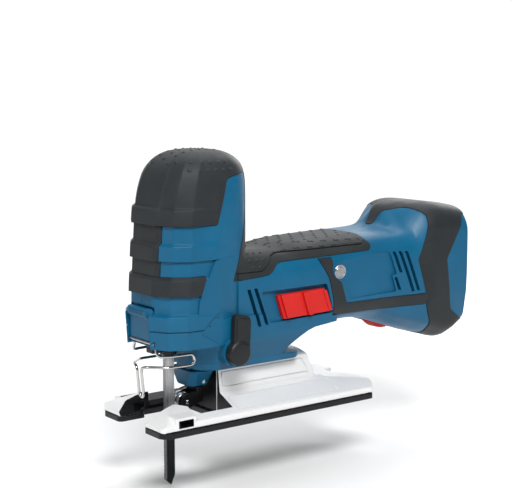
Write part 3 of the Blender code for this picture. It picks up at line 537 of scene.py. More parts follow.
outer = obj_from("outer", head_bm(PROUD))
boolean(outer, barrel_bm(PROUD), 'UNION')
outer_bold = obj_from("outer_bold", barrel_bm(0.42))
inner = obj_from("inner", head_bm(-SINK, relief=False))
boolean(inner, barrel_bm(-SINK, -184.0), 'UNION')
inner2 = obj_from("inner2", head_bm(-SINK - 0.25, relief=False))
boolean(inner2, barrel_bm(-SINK - 0.25, -184.0), 'UNION')
cavity = obj_from("cavity", head_bm(-WALL, relief=False, z0=51.0))
boolean(cavity, barrel_bm(-WALL, -172.0), 'UNION')
boolean(cavity, box(-24, 45, -17, 17, 46.6, 66), 'UNION')
boolean(cavity, box(-19, 45, -16, 16, 43.5, 50), 'UNION')
boolean(cavity, box(51.0, 72.0, -13.0, 13.0, 45, 70), 'UNION')

# ---- rubber inlay outlines, in the side view ----
CAP = [(30.6, 157.8), (39.8, 129.6), (95, 129.6), (95, 190), (-8, 190), (-8, 160.8), (14, 160.8), (24, 159.8)]
STRIP = [(66.5, 97.9), (95, 97.9), (95, 129.3), (66.5, 129.3)]
BAND = [(52.1, 85.6), (95, 85.6), (95, 97.6), (47.8, 97.6)]
PAD = [(26.0, 91.9), (-3.0, 94.1), (-9.6, 101.6), (-41.5, 102.2), (-88.8, 103.6), (-91.4, 107.0), (-87.5, 112.0),
       (-87.0, 140), (-12, 140), (-12, 160.4), (8.0, 160.4), (9.5, 133.6)]
SIDE_R = [(-43.0, 101.0), (-54.4, 101.0), (-55.2, 96.2), (-54.8, 91.0), (-56.6, 86.8), (-61.2, 84.2), (-62.6, 82.4), (-67.4, 68.6),
          (-139.6, 68.7), (-139.6, 61.1), (-56.3, 61.2), (-56.1, 71.2), (-54.0, 79.2), (-52.1, 87.2)]
BUMPER = [(-143.6, 150), (-190.0, 150), (-190.0, 124.9), (-176.8, 122.8), (-158.4, 92.0), (-162.6, 65.0), (-164.8, 53.8), (-177.4, 45.6),
          (-190.0, 45.6), (-190.0, 27.5), (-151.0, 27.5), (-149.2, 38.0), (-141.4, 57.0), (-138.4, 71.0), (-131.4, 93.6), (-139.9, 111.9), (-142.4, 119.1)]
TONGUE = [(-115.4, 3.6), (-121.4, 4.6), (-125.5, 7.4), (-132.4, 13.4), (-137.1, 21.8), (-141.0, 29.1), (-144.4, 34.6), (-150.0, 37.0), (-160.0, 37.0)]
TONGUE = TONGUE + [(x, -y) for x, y in reversed(TONGUE)]
INLAYS = {}
CUTS = {}
def inlay(name, pts, y0, y1, mat, radii, soft=2, skin=None):
    ob = obj_from(name, side(soften(pts, radii, soft), y0, y1), mat)
    boolean(ob, skin or outer, 'INTERSECT', keep=True)
    boolean(ob, inner, 'DIFFERENCE', keep=True)
    c = obj_from("c_" + name, side(soften(grow(pts, 0.25), radii, soft), y0 - (0.25 if y0 > -45 else 0), y1 + (0.25 if y1 < 45 else 0)))
    boolean(c, inner2, 'DIFFERENCE', keep=True)
    INLAYS[name] = ob
    CUTS[name] = c
inlay("head_cap_rubber", CAP, -45, 45, M_RUBBER, [1.5, 1.2, 0.1, 0.1, 0.1, 0.8, 2.0, 3.0])
inlay("front_strip_rubber", STRIP, -16.1, 16.1, M_RUBBER, [0.1] * 4)
inlay("lower_band_rubber", BAND, -45, 45, M_RUBBER, [1.0, 0.1, 0.1, 1.0])
inlay("grip_top_pad", PAD, -45, 45, M_PAD, [2.5, 4.0, 4.0, 2.0, 2.5, 3.0, 2.0, 0.1, 0.1, 0.1, 1.0, 6.0], 3)
SIDE_RAD = [0.6, 0.8, 2.5, 3.0, 3.0, 1.5, 1.5, 0.8, 0.8, 0.8, 0.8, 1.5, 3.0, 4.0]
inlay("side_rubber_left", SIDE_R, 10, 45, M_RUBBER, SIDE_RAD)
inlay("side_rubber_right", SIDE_R, -45, -10, M_RUBBER, SIDE_RAD)
BUMP_RAD = [0.1, 0.1, 0.1, 2.5, 1.5, 1.5, 2.5, 2.5, 0.1, 0.1, 1.0, 3.0, 3.0, 2.0, 1.5, 2.0, 2.0]
TONGUE_RAD = [3.0, 3.0, 2.0, 3.0, 3.0, 2.0, 2.0, 0.1, 0.1]
TONGUE_RAD = TONGUE_RAD + TONGUE_RAD[::-1]
bmp = obj_from("rear_bumper", side(soften(BUMPER, BUMP_RAD, 3), -45, 45), M_RUBBER)
boolean(bmp, plan(soften(TONGUE, TONGUE_RAD, 3), 112, 149), 'UNION')
bmp_cut = obj_from("c_rear_bumper", side(soften(grow(BUMPER, 0.25), BUMP_RAD, 3), -46, 46))
boolean(bmp_cut, plan(soften(grow(TONGUE, 0.25), TONGUE_RAD, 3), 111.7, 149.3), 'UNION')
boolean(bmp, outer_bold, 'INTERSECT', keep=True)
boolean(bmp, inner, 'DIFFERENCE', keep=True)
boolean(bmp_cut, inner2, 'DIFFERENCE', keep=True)
for s_ in (1, -1):      # sloping front face of the bumper, up to a crease that follows its outline
    ridge = [((-152.0, 134.0), (-144.5, 134.0), 36.2), ((-150.4, 121.5), (-143.6, 119.5), 36.2), ((-142.4, 92.8), (-129.8, 94.0), 35.5), ((-148.0, 68.0), (-137.0, 70.6), 36.0),
             ((-152.0, 54.0), (-140.0, 56.6), 36.2), ((-160.0, 34.0), (-148.0, 36.0), 36.4), ((-163.0, 24.0), (-150.0, 24.0), 36.4)]
    boolean(bmp, loft([[(a[0], s_ * 38.3, a[1]), (b[0], s_ * y, b[1]), (b[0], s_ * 52.0, b[1]), (a[0], s_ * 52.0, a[1])] for a, b, y in ridge]))
INLAYS["rear_bumper"] = bmp
CUTS["rear_bumper"] = bmp_cut
boolean(INLAYS["rear_bumper"], box(-195, -170.7, -27.3, 27.3, 25, 60))

VENTS = [[(10.2, 86.0), (7.6, 86.0), (-1.4, 61.2), (1.2, 61.2)], [(15.4, 85.6), (12.8, 85.6), (4.4, 60.6), (7.0, 60.6)],
         [(-108.9, 100.8), (-111.5, 100.8), (-117.6, 85.6), (-115.0, 85.6)],
         [(-114.3, 100.6), (-116.9, 100.6), (-128.9, 71.0), (-126.3, 71.0)],
         [(-119.6, 100.4), (-122.2, 100.4), (-133.6, 71.4), (-131.0, 71.4)],
         [(-110.2, 82.6), (-112.8, 82.6), (-117.0, 73.0), (-114.4, 73.0)]]
SWITCH_WIN = [(4.2, 83.2), (-49.6, 84.0), (-56.2, 63.4), (-2.6, 62.0)]
LABEL = [(-57.2, 100.2), (-106.0, 101.4), (-112.6, 84.6), (-108.4, 84.0), (-112.6, 72.4), (-70.0, 71.4), (-65.6, 84.6), (-57.8, 87.4), (-57.0, 95.0)]
LEVER = (26.0, 46.5)
SCREWS = [(55, 121), (33, 118), (-14, 98), (-147, 118), (-133, 54)]

def housing_half(s=-1):
    """what both halves of the housing share, cut once on the right side"""
    h = obj_from("housing_half", box(-200, 120, -60, -0.15, 20, 200), M_BLUE)
    boolean(h, envelope, 'INTERSECT', keep=True)
    boolean(h, cavity, 'DIFFERENCE', keep=True)
    for nm, c in CUTS.items():
        if nm.endswith("left"):
            continue
        boolean(h, c, 'DIFFERENCE', keep=True)
        tidy(h, 0.01)
    for v in VENTS:
        boolean(h, side(soften(v, 0.5, 2), s * 22, s * 45))
    boolean(h, side(soften(SWITCH_WIN, 1.6, 3), s * 29.0, s * 45))
    boolean(h, box(-27.5, -12.0, s * 20, s * 32, 66.4, 72.6))
    boolean(h, side(soften(LABEL, [3.0, 1.2, 1.2, 1.0, 1.2, 1.2, 2.0, 2.5, 2.5], 3), s * 32.35, s * 45))
    boolean(h, box(74.6, 90, -13.8, 13.8, 50, 78.5))
    boolean(h, box(-145.2, -109.8, -6.2, 6.2, 30, 60))
    boolean(h, box(-190, -171.0, -27.0, 27.0, 25, 124))
    boolean(h, box(31.9, 46.1, -8.4, 8.4, 25, 64))
    boolean(h, cross(circle(0, 0, 37.0, 96), -60, 50.5))
    # groove round the skirt
    ring = obj_from("ring", head_bm(1.5))
    boolean(ring, head_bm(-0.7))
    boolean(ring, side([(47, 63.6), (50, 63.2), (90, 63.2), (90, 64.0), (50, 64.0)], s * 13.8, s * 45), 'INTERSECT')
    boolean(h, ring)
    boolean(h, rod('Y', -16.2, 16.2, 77.2, 55.5, 1.5, 24))
    return h

HALF = housing_half()

def housing(s, tag):
    h = copy_of(HALF)
    h.name = "housing_" + tag
    if s > 0:
        for v in h.data.vertices:
            v.co.y = -v.co.y
        h.data.flip_normals()
        # swept field and boss of the orbital lever
        sweep = [(LEVER[0] + 29.5 * math.cos(a), LEVER[1] + 29.5 * math.sin(a)) for a in [math.radians(29 + 78 * k / 26) for k in range(27)]]
        boolean(h, side(sweep + [(LEVER[0] - 5.0, LEVER[1] + 9.0), (LEVER[0] + 3.0, LEVER[1] + 1.0)], 30.7, 45))
        boolean(h, rod('Y', 20.0, 31.4, LEVER[0], LEVER[1], 9.2, 48), 'UNION')
        boolean(h, rod('Y', 25.0, 40.0, LEVER[0], LEVER[1], 3.4, 32))
        for k in range(4):      # position dots for the lever
            a = math.radians(95 - 16.7 * k)
            boolean(h, rod('Y', 29.9, 40.0, LEVER[0] + 27.2 * math.cos(a), LEVER[1] + 27.2 * math.sin(a), 0.55, 12))
    else:
        for x, z in SCREWS:
            boolean(h, rod('Y', -26.0, -45.0, x, z, 3.6, 32))
    tidy(h)
    return h

for s, tag in ((1, "left"), (-1, "right")):
    h = housing(s, tag)
    bevel(h, 0.30, 2, 40.0)
    smooth(h, 38.0)
    piece(h, "shell_" + tag, "housing", "housing_blue", "housing_" + tag)

# ---- bumps on the grip pad and the cap ----
def surface_tree(ob):
    bm = bmesh.new()
    bm.from_mesh(ob.data)
    t = BVHTree.FromBMesh(bm)
    bm.free()
    return t

def bump_on(tree, p, d, r, h):
    """small dome of radius r, standing h proud, where a ray from p along d meets the surface"""
    hit, nrm, _, _ = tree.ray_cast(Vector(p) * MM, Vector(d))
    if hit is None:
        return None
    bm = bmesh.new()
    bmesh.ops.create_uvsphere(bm, u_segments=12, v_segments=7, radius=r)
    bmesh.ops.scale(bm, vec=(1, 1, h / r), verts=bm.verts)
    rot = nrm.to_track_quat('Z', 'Y').to_matrix().to_4x4()
    bmesh.ops.transform(bm, matrix=Matrix.Translation(hit * 1000.0) @ rot, verts=bm.verts)
    return bm

def add_bumps(ob, rays, r, h):
    tree = surface_tree(ob)
    out = bmesh.new()
    out.from_mesh(ob.data)
    for p, d in rays:
        b = bump_on(tree, p, d, r, h)
        if b is None:
            continue
        bmesh.ops.scale(b, vec=(MM, MM, MM), verts=b.verts)
        me = bpy.data.meshes.new("t")
        b.to_mesh(me)
        b.free()
        out.from_mesh(me)
        bpy.data.meshes.remove(me)
    out.to_mesh(ob.data)
    out.free()

# shallow line round the bump field of the grip pad
LINE = [(24.0, 96.6), (3.5, 96.8), (-2.6, 100.4), (-6.4, 105.6), (-11.0, 107.0), (-84.0, 107.9), (-86.4, 109.6)]
low = [(x, z - 0.45) for x, z in LINE]
for s in (1, -1):
    c = obj_from("line", side([(x, z + 0.35) for x, z in LINE] + low[::-1], s * 20, s * 45))
    t = obj_from("t", head_bm(-0.30, relief=False))
    boolean(t, barrel_bm(-0.30), 'UNION')
    boolean(c, t)
    boolean(INLAYS["grip_top_pad"], c)
for name, ob in INLAYS.items():
    tidy(ob)
    bevel(ob, 0.8 if name == "rear_bumper" else 0.38, 3 if name == "rear_bumper" else 2, 40.0)
cap_rays = []
for j in range(7):          # rows from one flank over the crown to the other
    y = -27.0 + 9.0 * j
    z0 = 163.8 if abs(y) > 24 else (168.6 if abs(y) > 15 else 178.0)
    for i in range(6 if j % 2 else 7):
        x = 26.5 + 5.9 * i + (2.9 if j % 2 else 0.0)
        if abs(y) > 24 and x > 60:
            continue
        cap_rays.append(((x, math.copysign(60, y) if abs(y) > 15 else y, z0 if abs(y) > 15 else 220), (0, -math.copysign(1, y), 0) if abs(y) > 15 else (0, 0, -1)))
add_bumps(INLAYS["head_cap_rubber"], cap_rays, 1.15, 0.5)
pad_rays = []
for k in range(15):         # rows along the top of the grip and down each shoulder
    x = -84.0 + k * 5.0
    for y in ((-7.5, 7.5) if k % 2 else (-15.0, 0.0, 15.0)):
        pad_rays.append(((x, y, 220), (0, 0, -1)))
    for s in (1, -1):
        pad_rays.append(((x + (2.5 if k % 2 else 0.0), s * 60, 111.4 + 0.8 * (x + 84) / 70 - 1.6 * (x > -30) * (x + 30) / 14), (0, -s, 0)))
        pad_rays.append(((x + (0.0 if k % 2 else 2.5), s * 60, 109.0 - 1.2 * (x > -30) * (x + 30) / 14), (0, -s, 0)))
for s in (1, -1):
    for i, j in ((0, 0), (1, 0), (2, 0), (0, 1), (1, 1), (2, 1), (0, 2), (1, 2), (2, 2), (0, 3), (1, 3), (0, 4), (1, 4)):
        pad_rays.append(((-1.0 + 5.4 * i + 1.8 * (j % 2), s * 60, 99.5 + 4.2 * j), (0, -s, 0)))
for k in range(8):
    for y in (-9.0, -3.0, 3.0, 9.0):
        pad_rays.append(((-40, y + (3.0 if k % 2 else 0.0), 116.0 + 5.4 * k), (1, 0, 0)))
add_bumps(INLAYS["grip_top_pad"], pad_rays, 1.15, 0.50)
for name, ob in INLAYS.items():
    smooth(ob, 38.0)
    piece(ob, "skin_" + name, "housing", "rubber_black", name)
for o in list(CUTS.values()) + [HALF, outer, outer_bold, inner, inner2, cavity, envelope]:
    bpy.data.objects.remove(o, do_unlink=True)

# plain round badge in the label field
for s, tag in ((1, "left"), (-1, "right")):
    b = obj_from("badge", turned([(s * 31.9, 0), (s * 32.75, 0), (s * 32.75, 3.0), (s * 32.55, 3.2), (s * 32.55, 3.9), (s * 32.85, 4.1), (s * 32.85, 4.7), (s * 32.6, 4.95), (s * 31.9, 4.95)], 'Y', -61.4, 91.0, 64), M_TURNED)
    smooth(b, 30)
    piece(b, "badge_" + tag, "housing", "steel")

# =============================== nose, roller, fork ================================
rings = []
for z, x0, x1, h in [(22.0, 31.8, 45.8, 9.2), (22.6, 31.2, 46.3, 9.8), (32.4, 29.5, 47.5, 14.9), (32.9, 29.9, 47.2, 14.5)]:
    pts = [(x1, h - 3.5), (x1 - 3.5, h), (x0 + 2.5, h), (x0, h - 2.5), (x0, -h + 2.5), (x0 + 2.5, -h), (x1 - 3.5, -h), (x1, -h + 3.5)]
    rings.append([(x, y, z) for x, y in soften(pts, 1.0, 2)])
nose = obj_from("nose", loft(rings), M_BLUE)
boolean(nose, box(32.4, 45.6, -7.9, 7.9, 32.0, 61.6), 'UNION')
boolean(nose, box(28.0, 43.4, -4.3, 4.3, 20, 31))
boolean(nose, rod('Y', -20, 20, 36.0, 24.6, 1.8, 24))
tidy(nose); bevel(nose, 0.35, 2, 40); smooth(nose)
piece(nose, "guide_nose_detail", "housing", "housing_blue", "guide_nose")

RX, RZ = 46.9, 12.0
fork = obj_from("fork", side(soften([(32.6, 28.2), (39.5, 28.2), (39.5, 17.0), (32.6, 17.0)], 1.6, 4), -3.7, 3.7), M_OXIDE)
boolean(fork, plan(soften([(34.0, -6.6), (39.2, -6.6), (39.2, 6.6), (34.0, 6.6)], 1.0, 3), 10.5, 20.6), 'UNION')
for s in (1, -1):
    ear = soften([(36.2, 18.8), (43.0, 17.6), (RX, RZ + 5.4)], 0.1, 1)
    out = [(36.2, 11.2), (36.2, 18.8)] + [(RX + 5.0 * math.cos(a), RZ + 5.0 * math.sin(a)) for a in [math.radians(100 - 220 * k / 24) for k in range(25)]]
    boolean(fork, side([(x, z) for x, z in out if x < 50.5], s * 4.4, s * 6.9), 'UNION')
boolean(fork, rod('Y', -10, 10, 36.0, 24.6, 1.75, 24))
boolean(fork, rod('Y', -10, 10, RX, RZ, 1.8, 24))
tidy(fork); bevel(fork, 0.3, 2, 40); smooth(fork)
piece(fork, "roller_fork_detail", "roller_arm", "dark_steel", "roller_fork")
ax = obj_from("axle", turned([(-7.6, 0), (-7.6, 1.0), (-7.3, 1.3), (-7.3, 1.45), (7.3, 1.45), (7.3, 1.3), (7.6, 1.0), (7.6, 0)], 'Y', RX, RZ, 40), M_TURNED)
smooth(ax, 30)
piece(ax, "roller_axle_detail", "roller_arm", "steel", "roller_axle")
roll = obj_from("roller", turned([(-4.0, 1.85), (-4.0, 2.6), (-3.8, 2.9), (-3.8, 4.2), (-4.0, 4.4), (-4.0, 5.3), (-3.7, 5.6), (-1.9, 5.6), (-1.4, 5.2), (-1.1, 4.9), (1.1, 4.9), (1.4, 5.2), (1.9, 5.6),
                                  (3.7, 5.6), (4.0, 5.3), (4.0, 4.4), (3.8, 4.2), (3.8, 2.9), (4.0, 2.6), (4.0, 1.85)], 'Y', RX, RZ, 72), M_TURNED)
smooth(roll, 30)
piece(roll, "guide_roller_detail", "roller", "steel", "guide_roller")

# =============================== blade, holder, clamp lug ==========================
def saw_blade():
    bm = bmesh.new()
    x0, x1, tip, t = 52.8, 61.0, -43.4, 0.7
    z = tip + 4.6
    k = 0
    teeth = []
    while z < 20.0:
        teeth.append((z, k))
        z += 1.3
        k += 1
    # back edge, tip, then the set teeth
    def ring(y):
        pts = [(x0 + (0.25 if abs(y) > 0.5 else 0), 46.5), (x0 + (0.25 if abs(y) > 0.5 else 0), tip + 6.5), (56.0, tip)]
        for zz, kk in teeth:
            pts += [(x1 - 0.02, zz), (x1 - 0.75, zz + 1.02)]
        pts += [(x1 - 0.1, 20.6), (x1 - 0.1, 46.5)]
        return pts
    layers = []
    for y in (-t, -0.25, 0.25, t):
        layers.append([bm.verts.new((x, y, zz)) for x, zz in ring(y)])
    # alternate set of the teeth
    for li, layer in enumerate(layers):
        for i, (zz, kk) in enumerate(teeth):
            v = layer[3 + 2 * i]
            v.co.y = v.co.y * 0.75 + (0.17 if kk % 2 else -0.17)
    n = len(layers[0])
    for a, b in zip(layers[:-1], layers[1:]):
        for i in range(n):
            bm.faces.new((a[i], a[(i + 1) % n], b[(i + 1) % n], b[i]))
    bm.faces.new(layers[0])
    bm.faces.new(layers[-1])
    return obj_from("blade", bm, M_BLADE)
bl = saw_blade()
smooth(bl, 25, weighted=False)
piece(bl, "saw_blade_detail", "blade_carrier", "blade_steel", "saw_blade")
hold = obj_from("holder", turned([(44.0, 0), (44.0, 4.9), (44.7, 5.6), (46.0, 5.7), (46.2, 6.0), (48.0, 6.0), (48.2, 5.5), (48.8, 5.5), (49.0, 6.0), (51.6, 6.0), (52.1, 5.5), (52.1, 0)], 'Z', 57.0, 0, 64), M_OXIDE)
boolean(hold, box(52.4, 61.4, -1.0, 1.0, 30, 47))
tidy(hold); bevel(hold, 0.2, 2, 45); smooth(hold)
piece(hold, "blade_holder_detail", "blade_carrier", "dark_steel", "blade_holder")

lug = obj_from("lug", plan(soften([(64.4, -4.6), (71.5, -4.0), (71.5, 4.0), (64.4, 4.6)], 1.0, 3), 46.4, 52.4), M_BLACK)
boolean(lug, box(66.2, 69.4, -1.6, 1.6, 45, 48.2))
tidy(lug); bevel(lug, 0.4, 2, 40); smooth(lug)
piece(lug, "clamp_lug", "housing", "black_plastic")

# =============================== base ===============================================
TR = 36.3
a0 = math.asin(15.0 / TR)
arc = [(TR * math.sin(a0 - 2 * a0 * i / 32), TR * math.cos(a0 - 2 * a0 * i / 32)) for i in range(33)]
wing = [(36.9, 3.9), (37.3, 4.3), (37.3, 7.9), (36.9, 8.35), (17.4, 17.2), (16.9, 18.2)]
base = obj_from("base", cross(wing + arc + [(-y, z) for y, z in reversed(wing)], -91.0, 84.9), M_ALU)
def my(half):
    return half + [(x, -y) for x, y in reversed(half)]
boolean(base, plan([(67.0, 14.5), (100.0, 14.5), (100.0, -14.5), (67.0, -14.5)], 0, 40))
boolean(base, plan(soften([(29.0, -24.0), (29.0, 24.0), (57.0, 24.0), (67.2, 19.0), (67.2, -19.0), (57.0, -24.0)], 1.5, 3), 0, 60))
for s in (1, -1):
    boolean(base, cross([(s * 14.0, 4.6), (s * 34.5, 11.9), (s * 14.0, 40)], 28.4, 58))
    boolean(base, cross([(s * 13.5, 2.6), (s * 19.8, 11.8), (s * 13.5, 40)], 57, 90))
boolean(base, side([(-52.5, 17.6), (-42.5, 45.0), (-120, 45.0), (-120, 16.0)], -60, 60))
boolean(base, side([(-100, 10.6), (-60, 16.2), (-51, 19.5), (-60, 40), (-120, 40)], -60, 60))
boolean(base, side([(77.0, 12.6), (90, 2.6), (90, 40), (60, 40), (66, 16)], -60, 60))
for s in (1, -1):
    boolean(base, plan([(-100, s * 38), (-86.5, s * 38.5), (-91.5, s * 32), (-100, s * 30)], 0, 60))
    boolean(base, plan([(100, s * 39.5), (82, s * 39.5), (85.4, s * 34), (100, s * 34)], 0, 60))
boolean(base, plan([(-93, -12), (-80, -6), (-78, 0), (-80, 6), (-93, 12)], 0, 60))
for s in (1, -1):
    boolean(base, cross([(s * 37.15, 7.0), (s * 37.15, 10.7), (s * 36.4, 11.6), (s * 29.8, 12.85), (s * 28.5, 11.2)], 60.4, 75.6), 'UNION')
    boolean(base, plan([(58.0, s * 40.0), (60.4, s * 40.0), (61.6, s * 36.0), (60.4, s * 26.0), (58.0, s * 26.0)], 8.6, 9.0))
    boolean(base, box(62.5, 73.5, min(s * 10, s * 45), max(s * 10, s * 45), 5.3, 10.1))
boolean(base, rod("Z", 0, 40, -10, 0, 6.2, 48))

def groove(raw, w, r, place):
    """ring-shaped cutter: a rounded outline and its copy w inside, laid on a face by place(u, v, depth)"""
    o, i = soften(raw, r, 3), soften(grow(raw, -w), max(0.25, r - w), 3)
    bm = bmesh.new()
    rows = [[bm.verts.new(place(u, v, dep)) for u, v in pts] for pts, dep in ((o, 2.0), (o, -0.75), (i, -0.75), (i, 2.0))]
    n = len(o)
    for a, b in zip(rows, rows[1:] + rows[:1]):
        for k in range(n):
            bm.faces.new((a[k], a[(k + 1) % n], b[(k + 1) % n], b[k]))
    return bm
def on_wall(s):
    def f(x, z, dep):
        y = 17.0 + (15.0 - 17.0) * (z - 17.4) / (33.05 - 17.4)
        return (x, s * (y + dep), z)
    return f
def on_wing(s):
    def f(x, y, dep):
        z = 8.2 + (37.3 - y) * (17.2 - 8.35) / (36.9 - 17.4)
        return (x, s * y, z + dep)
    return f
for s in (1, -1):
    boolean(base, groove([(26.4, 20.6), (26.4, 31.2), (-41.2, 31.2), (-48.2, 20.6)], 0.9, 1.2, on_wall(s)))
    boolean(base, groove([(26.0, 21.0), (26.0, 34.6), (-58.0, 34.6), (-60.0, 32.4), (-60.0, 21.0)], 0.9, 1.2, on_wing(s)))
tidy(base); bevel(base, 0.45, 2, 25)
# second material slot on the base, used here only as painted shade inside the window
base.data.materials.append(M_OXIDE)
for p in base.data.polygons:        # window walls round the blade and the roller given the dark steel material: painted shade where the window lies in shadow
    c, n = p.center / MM, p.normal
    if c.x > 27.5 and abs(c.y) < 36.4 and c.z > 3.95 and (n.x > 0.8 and c.x < 30.5 or n.y * c.y < -0.05 and abs(c.y) > 13.0 or 62.3 < c.x < 73.7 and 5.1 < c.z < 10.3 and abs(c.y) < 36.4):
        p.material_index = 1
smooth(base, 30)
piece(base, "base_plate_detail", "base", "alloy", "base_plate")

shoe_pts = [(85.5, 16.5), (85.5, 33.5), (81.5, 38.6), (-86.8, 38.6), (-91.0, 32.5), (-91.0, -32.5),
            (-86.8, -38.6), (81.5, -38.6), (85.5, -33.5), (85.5, -16.5), (83.5, -14.5),
            (66.5, -14.5), (64.5, -20.5), (33.0, -20.5), (31.0, -18.0), (31.0, 18.0), (33.0, 20.5), (64.5, 20.5), (66.5, 14.5), (83.5, 14.5)]
shoe = obj_from("shoe", plan(soften(shoe_pts, 1.2, 3), 0.0, 3.6), M_SHOE)
for i in range(5):      # shallow gliding channels in the sole
    y = -28 + 14 * i
    if abs(y) > 1:
        boolean(shoe, side([(-84 + 0, -1), (26, -1), (25.4, 0.45), (-83.4, 0.45)], y - 0.6, y + 0.6))
tidy(shoe); bevel(shoe, 0.5, 3, 35); smooth(shoe)
piece(shoe, "glide_shoe_detail", "base", "shoe_black", "glide_shoe")

# =============================== wire guard ==========================================
def rounded3(pts, r, n=6):
    out = [Vector(pts[0])]
    for i in range(1, len(pts) - 1):
        p0, p1, p2 = Vector(pts[i - 1]), Vector(pts[i]), Vector(pts[i + 1])
        d1, d2 = (p0 - p1), (p2 - p1)
        t = min(r, d1.length * 0.47, d2.length * 0.47)
        a, b = p1 + d1.normalized() * t, p1 + d2.normalized() * t
        for k in range(n + 1):
            s = k / n
            out.append(a * (1 - s) ** 2 + p1 * 2 * s * (1 - s) + b * s * s)
    out.append(Vector(pts[-1]))
    return out
half = [(77.2, 0.0, 18.0), (77.6, 2.6, 20.5), (79.3, 2.6, 38.6), (77.5, 9.0, 39.6), (68.0, 17.4, 39.4), (50.5, 18.0, 39.2), (48.3, 18.0, 42.6),
        (50.5, 18.0, 46.2), (66.0, 17.6, 46.4), (74.5, 14.6, 46.8), (74.5, 12.6, 52.4)]
full = [(x, -y, z) for x, y, z in reversed(half[1:])] + half
path = rounded3(full, 3.4, 7)
def tube(path, r, n=18):
    bm = bmesh.new()
    rings = []
    up = Vector((0, 0, 1))
    t_prev = None
    for i, p in enumerate(path):
        t = (path[min(i + 1, len(path) - 1)] - path[max(i - 1, 0)]).normalized()
        if t_prev is None:
            u = t.orthogonal().normalized()
        else:
            u = (u - t * u.dot(t)).normalized()
        v = t.cross(u)
        t_prev = t
        rings.append([bm.verts.new(p + u * r * math.cos(2 * math.pi * k / n) + v * r * math.sin(2 * math.pi * k / n)) for k in range(n)])
    for a, b in zip(rings[:-1], rings[1:]):
        for k in range(n):
            bm.faces.new((a[k], a[(k + 1) % n], b[(k + 1) % n], b[k]))
    bm.faces.new(rings[0])
    bm.faces.new(rings[-1])
    return bm
wire = obj_from("wire", tube(path, 0.95), M_WIRE)
smooth(wire, 50, weighted=False)
piece(wire, "wire_guard_detail", "housing", "wire_chrome", "wire_guard")

# =============================== controls ============================================
SL = [(-7.2, 80.0), (-47.1, 80.9), (-52.6, 65.0), (-12.6, 63.9)]
for s, tag in ((1, "left"), (-1, "right")):
    sl = obj_from("slider", side(soften(SL, 0.8, 3), s * 29.4, s * 32.6), M_RED)
    for x in (-9.0, -27.5):
        boolean(sl, side(soften([(x, 80.2), (x - 3.6, 80.3), (x - 9.2, 64.4), (x - 5.6, 64.3)], 0.5, 2), s * 30.5, s * 34.3), 'UNION')
    boolean(sl, side(soften([(-46.0, 79.6), (-48.9, 79.7), (-54.0, 65.6), (-51.4, 65.5)], 0.3, 2), s * 30.5, s * 33.2), 'UNION')
    boolean(sl, side([(-90, 0), (-47.3, 120), (-140, 120)], s * 20, s * 29.3))
    tidy(sl); bevel(sl, 0.4, 3, 40); smooth(sl)
    piece(sl, "slider_" + tag, "power_switch", "red_plastic", "switch_slider_" + tag)

LX, LZ = LEVER
lev = obj_from("lever", turned([(31.8, 0), (31.8, 7.9), (32.1, 8.2), (36.8, 8.2), (37.8, 7.3), (38.2, 6.0), (38.1, 0)], 'Y', LX, LZ, 72), M_BLACK)
arm = soften([(LX - 8.0, LZ + 1), (LX - 9.0, LZ + 20.6), (LX - 7.4, LZ + 23.4), (LX + 2.2, LZ + 25.4), (LX + 3.8, LZ + 23.6), (LX + 4.6, LZ + 1)], [2, 2.5, 3, 3, 2.5, 2], 4)
boolean(lev, side(arm, 32.4, 36.2), 'UNION')
boolean(lev, side(soften(grow([(LX - 7.6, LZ - 2), (LX - 8.6, LZ + 20.4), (LX - 7.2, LZ + 22.8), (LX + 1.9, LZ + 24.8), (LX + 3.4, LZ + 23.2), (LX + 4.2, LZ - 2)], -1.3), 1.6, 3), 35.0, 36.8), 'UNION')
boolean(lev, rod('Y', 25.4, 33.0, LX, LZ, 3.0, 32), 'UNION')
tidy(lev); bevel(lev, 0.4, 3, 35); smooth(lev)
piece(lev, "orbital_lever_detail", "orbital_selector", "black_plastic", "orbital_lever")

rel = obj_from("rel", side(soften([(75.6, 54.0), (77.9, 53.2), (78.3, 70.2), (80.9, 72.8), (81.0, 76.4), (80.2, 77.3), (77.5, 77.6), (75.6, 75.4)], 0.5, 3), -13.2, 13.2), M_BLUE)
for s_ in (1, -1):
    boolean(rel, plan([(77.0, s_ * 13.4), (78.4, s_ * 11.2), (84.0, s_ * 9.6), (84.0, s_ * 16), (77.0, s_ * 16)], 40, 90))
boolean(rel, rod('Y', -20, 20, 77.2, 55.5, 1.5, 24))
for k in range(3):
    boolean(rel, side([(80.6, 73.4 + 1.1 * k), (84, 73.2 + 1.1 * k), (84, 73.9 + 1.1 * k), (80.6, 73.7 + 1.1 * k)], -8.0, 8.0))
tidy(rel); bevel(rel, 0.5, 3, 40); smooth(rel)
piece(rel, "release_lever_detail", "blade_release", "housing_blue", "blade_release_lever")

DX, DZ, DR = -127.5, 57.0, 17.0
prof = []
n_k = 48
bm = bmesh.new()
layers = []
for y, rr in ((-5.4, DR - 1.1), (-4.9, DR - 0.6), (-4.4, DR), (4.4, DR), (4.9, DR - 0.6), (5.4, DR - 1.1)):
    ring = []
    for i in range(n_k * 4):
        a = 2 * math.pi * i / (n_k * 4)
        r = rr - (0.75 if i % 4 in (2, 3) else 0.0)
        ring.append(bm.verts.new((DX + r * math.cos(a), y, DZ + r * math.sin(a))))
    layers.append(ring)
for a, b in zip(layers[:-1], layers[1:]):
    n = len(a)
    for k in range(n):
        bm.faces.new((a[k], a[(k + 1) % n], b[(k + 1) % n], b[k]))
bm.faces.new(layers[0]); bm.faces.new(layers[-1])
dial = obj_from("dial", bm, M_RED)
boolean(dial, rod('Y', -9, 9, DX, DZ, 3.0, 32))
tidy(dial); smooth(dial, 28)
piece(dial, "speed_dial_detail", "speed_wheel", "red_plastic", "speed_dial")

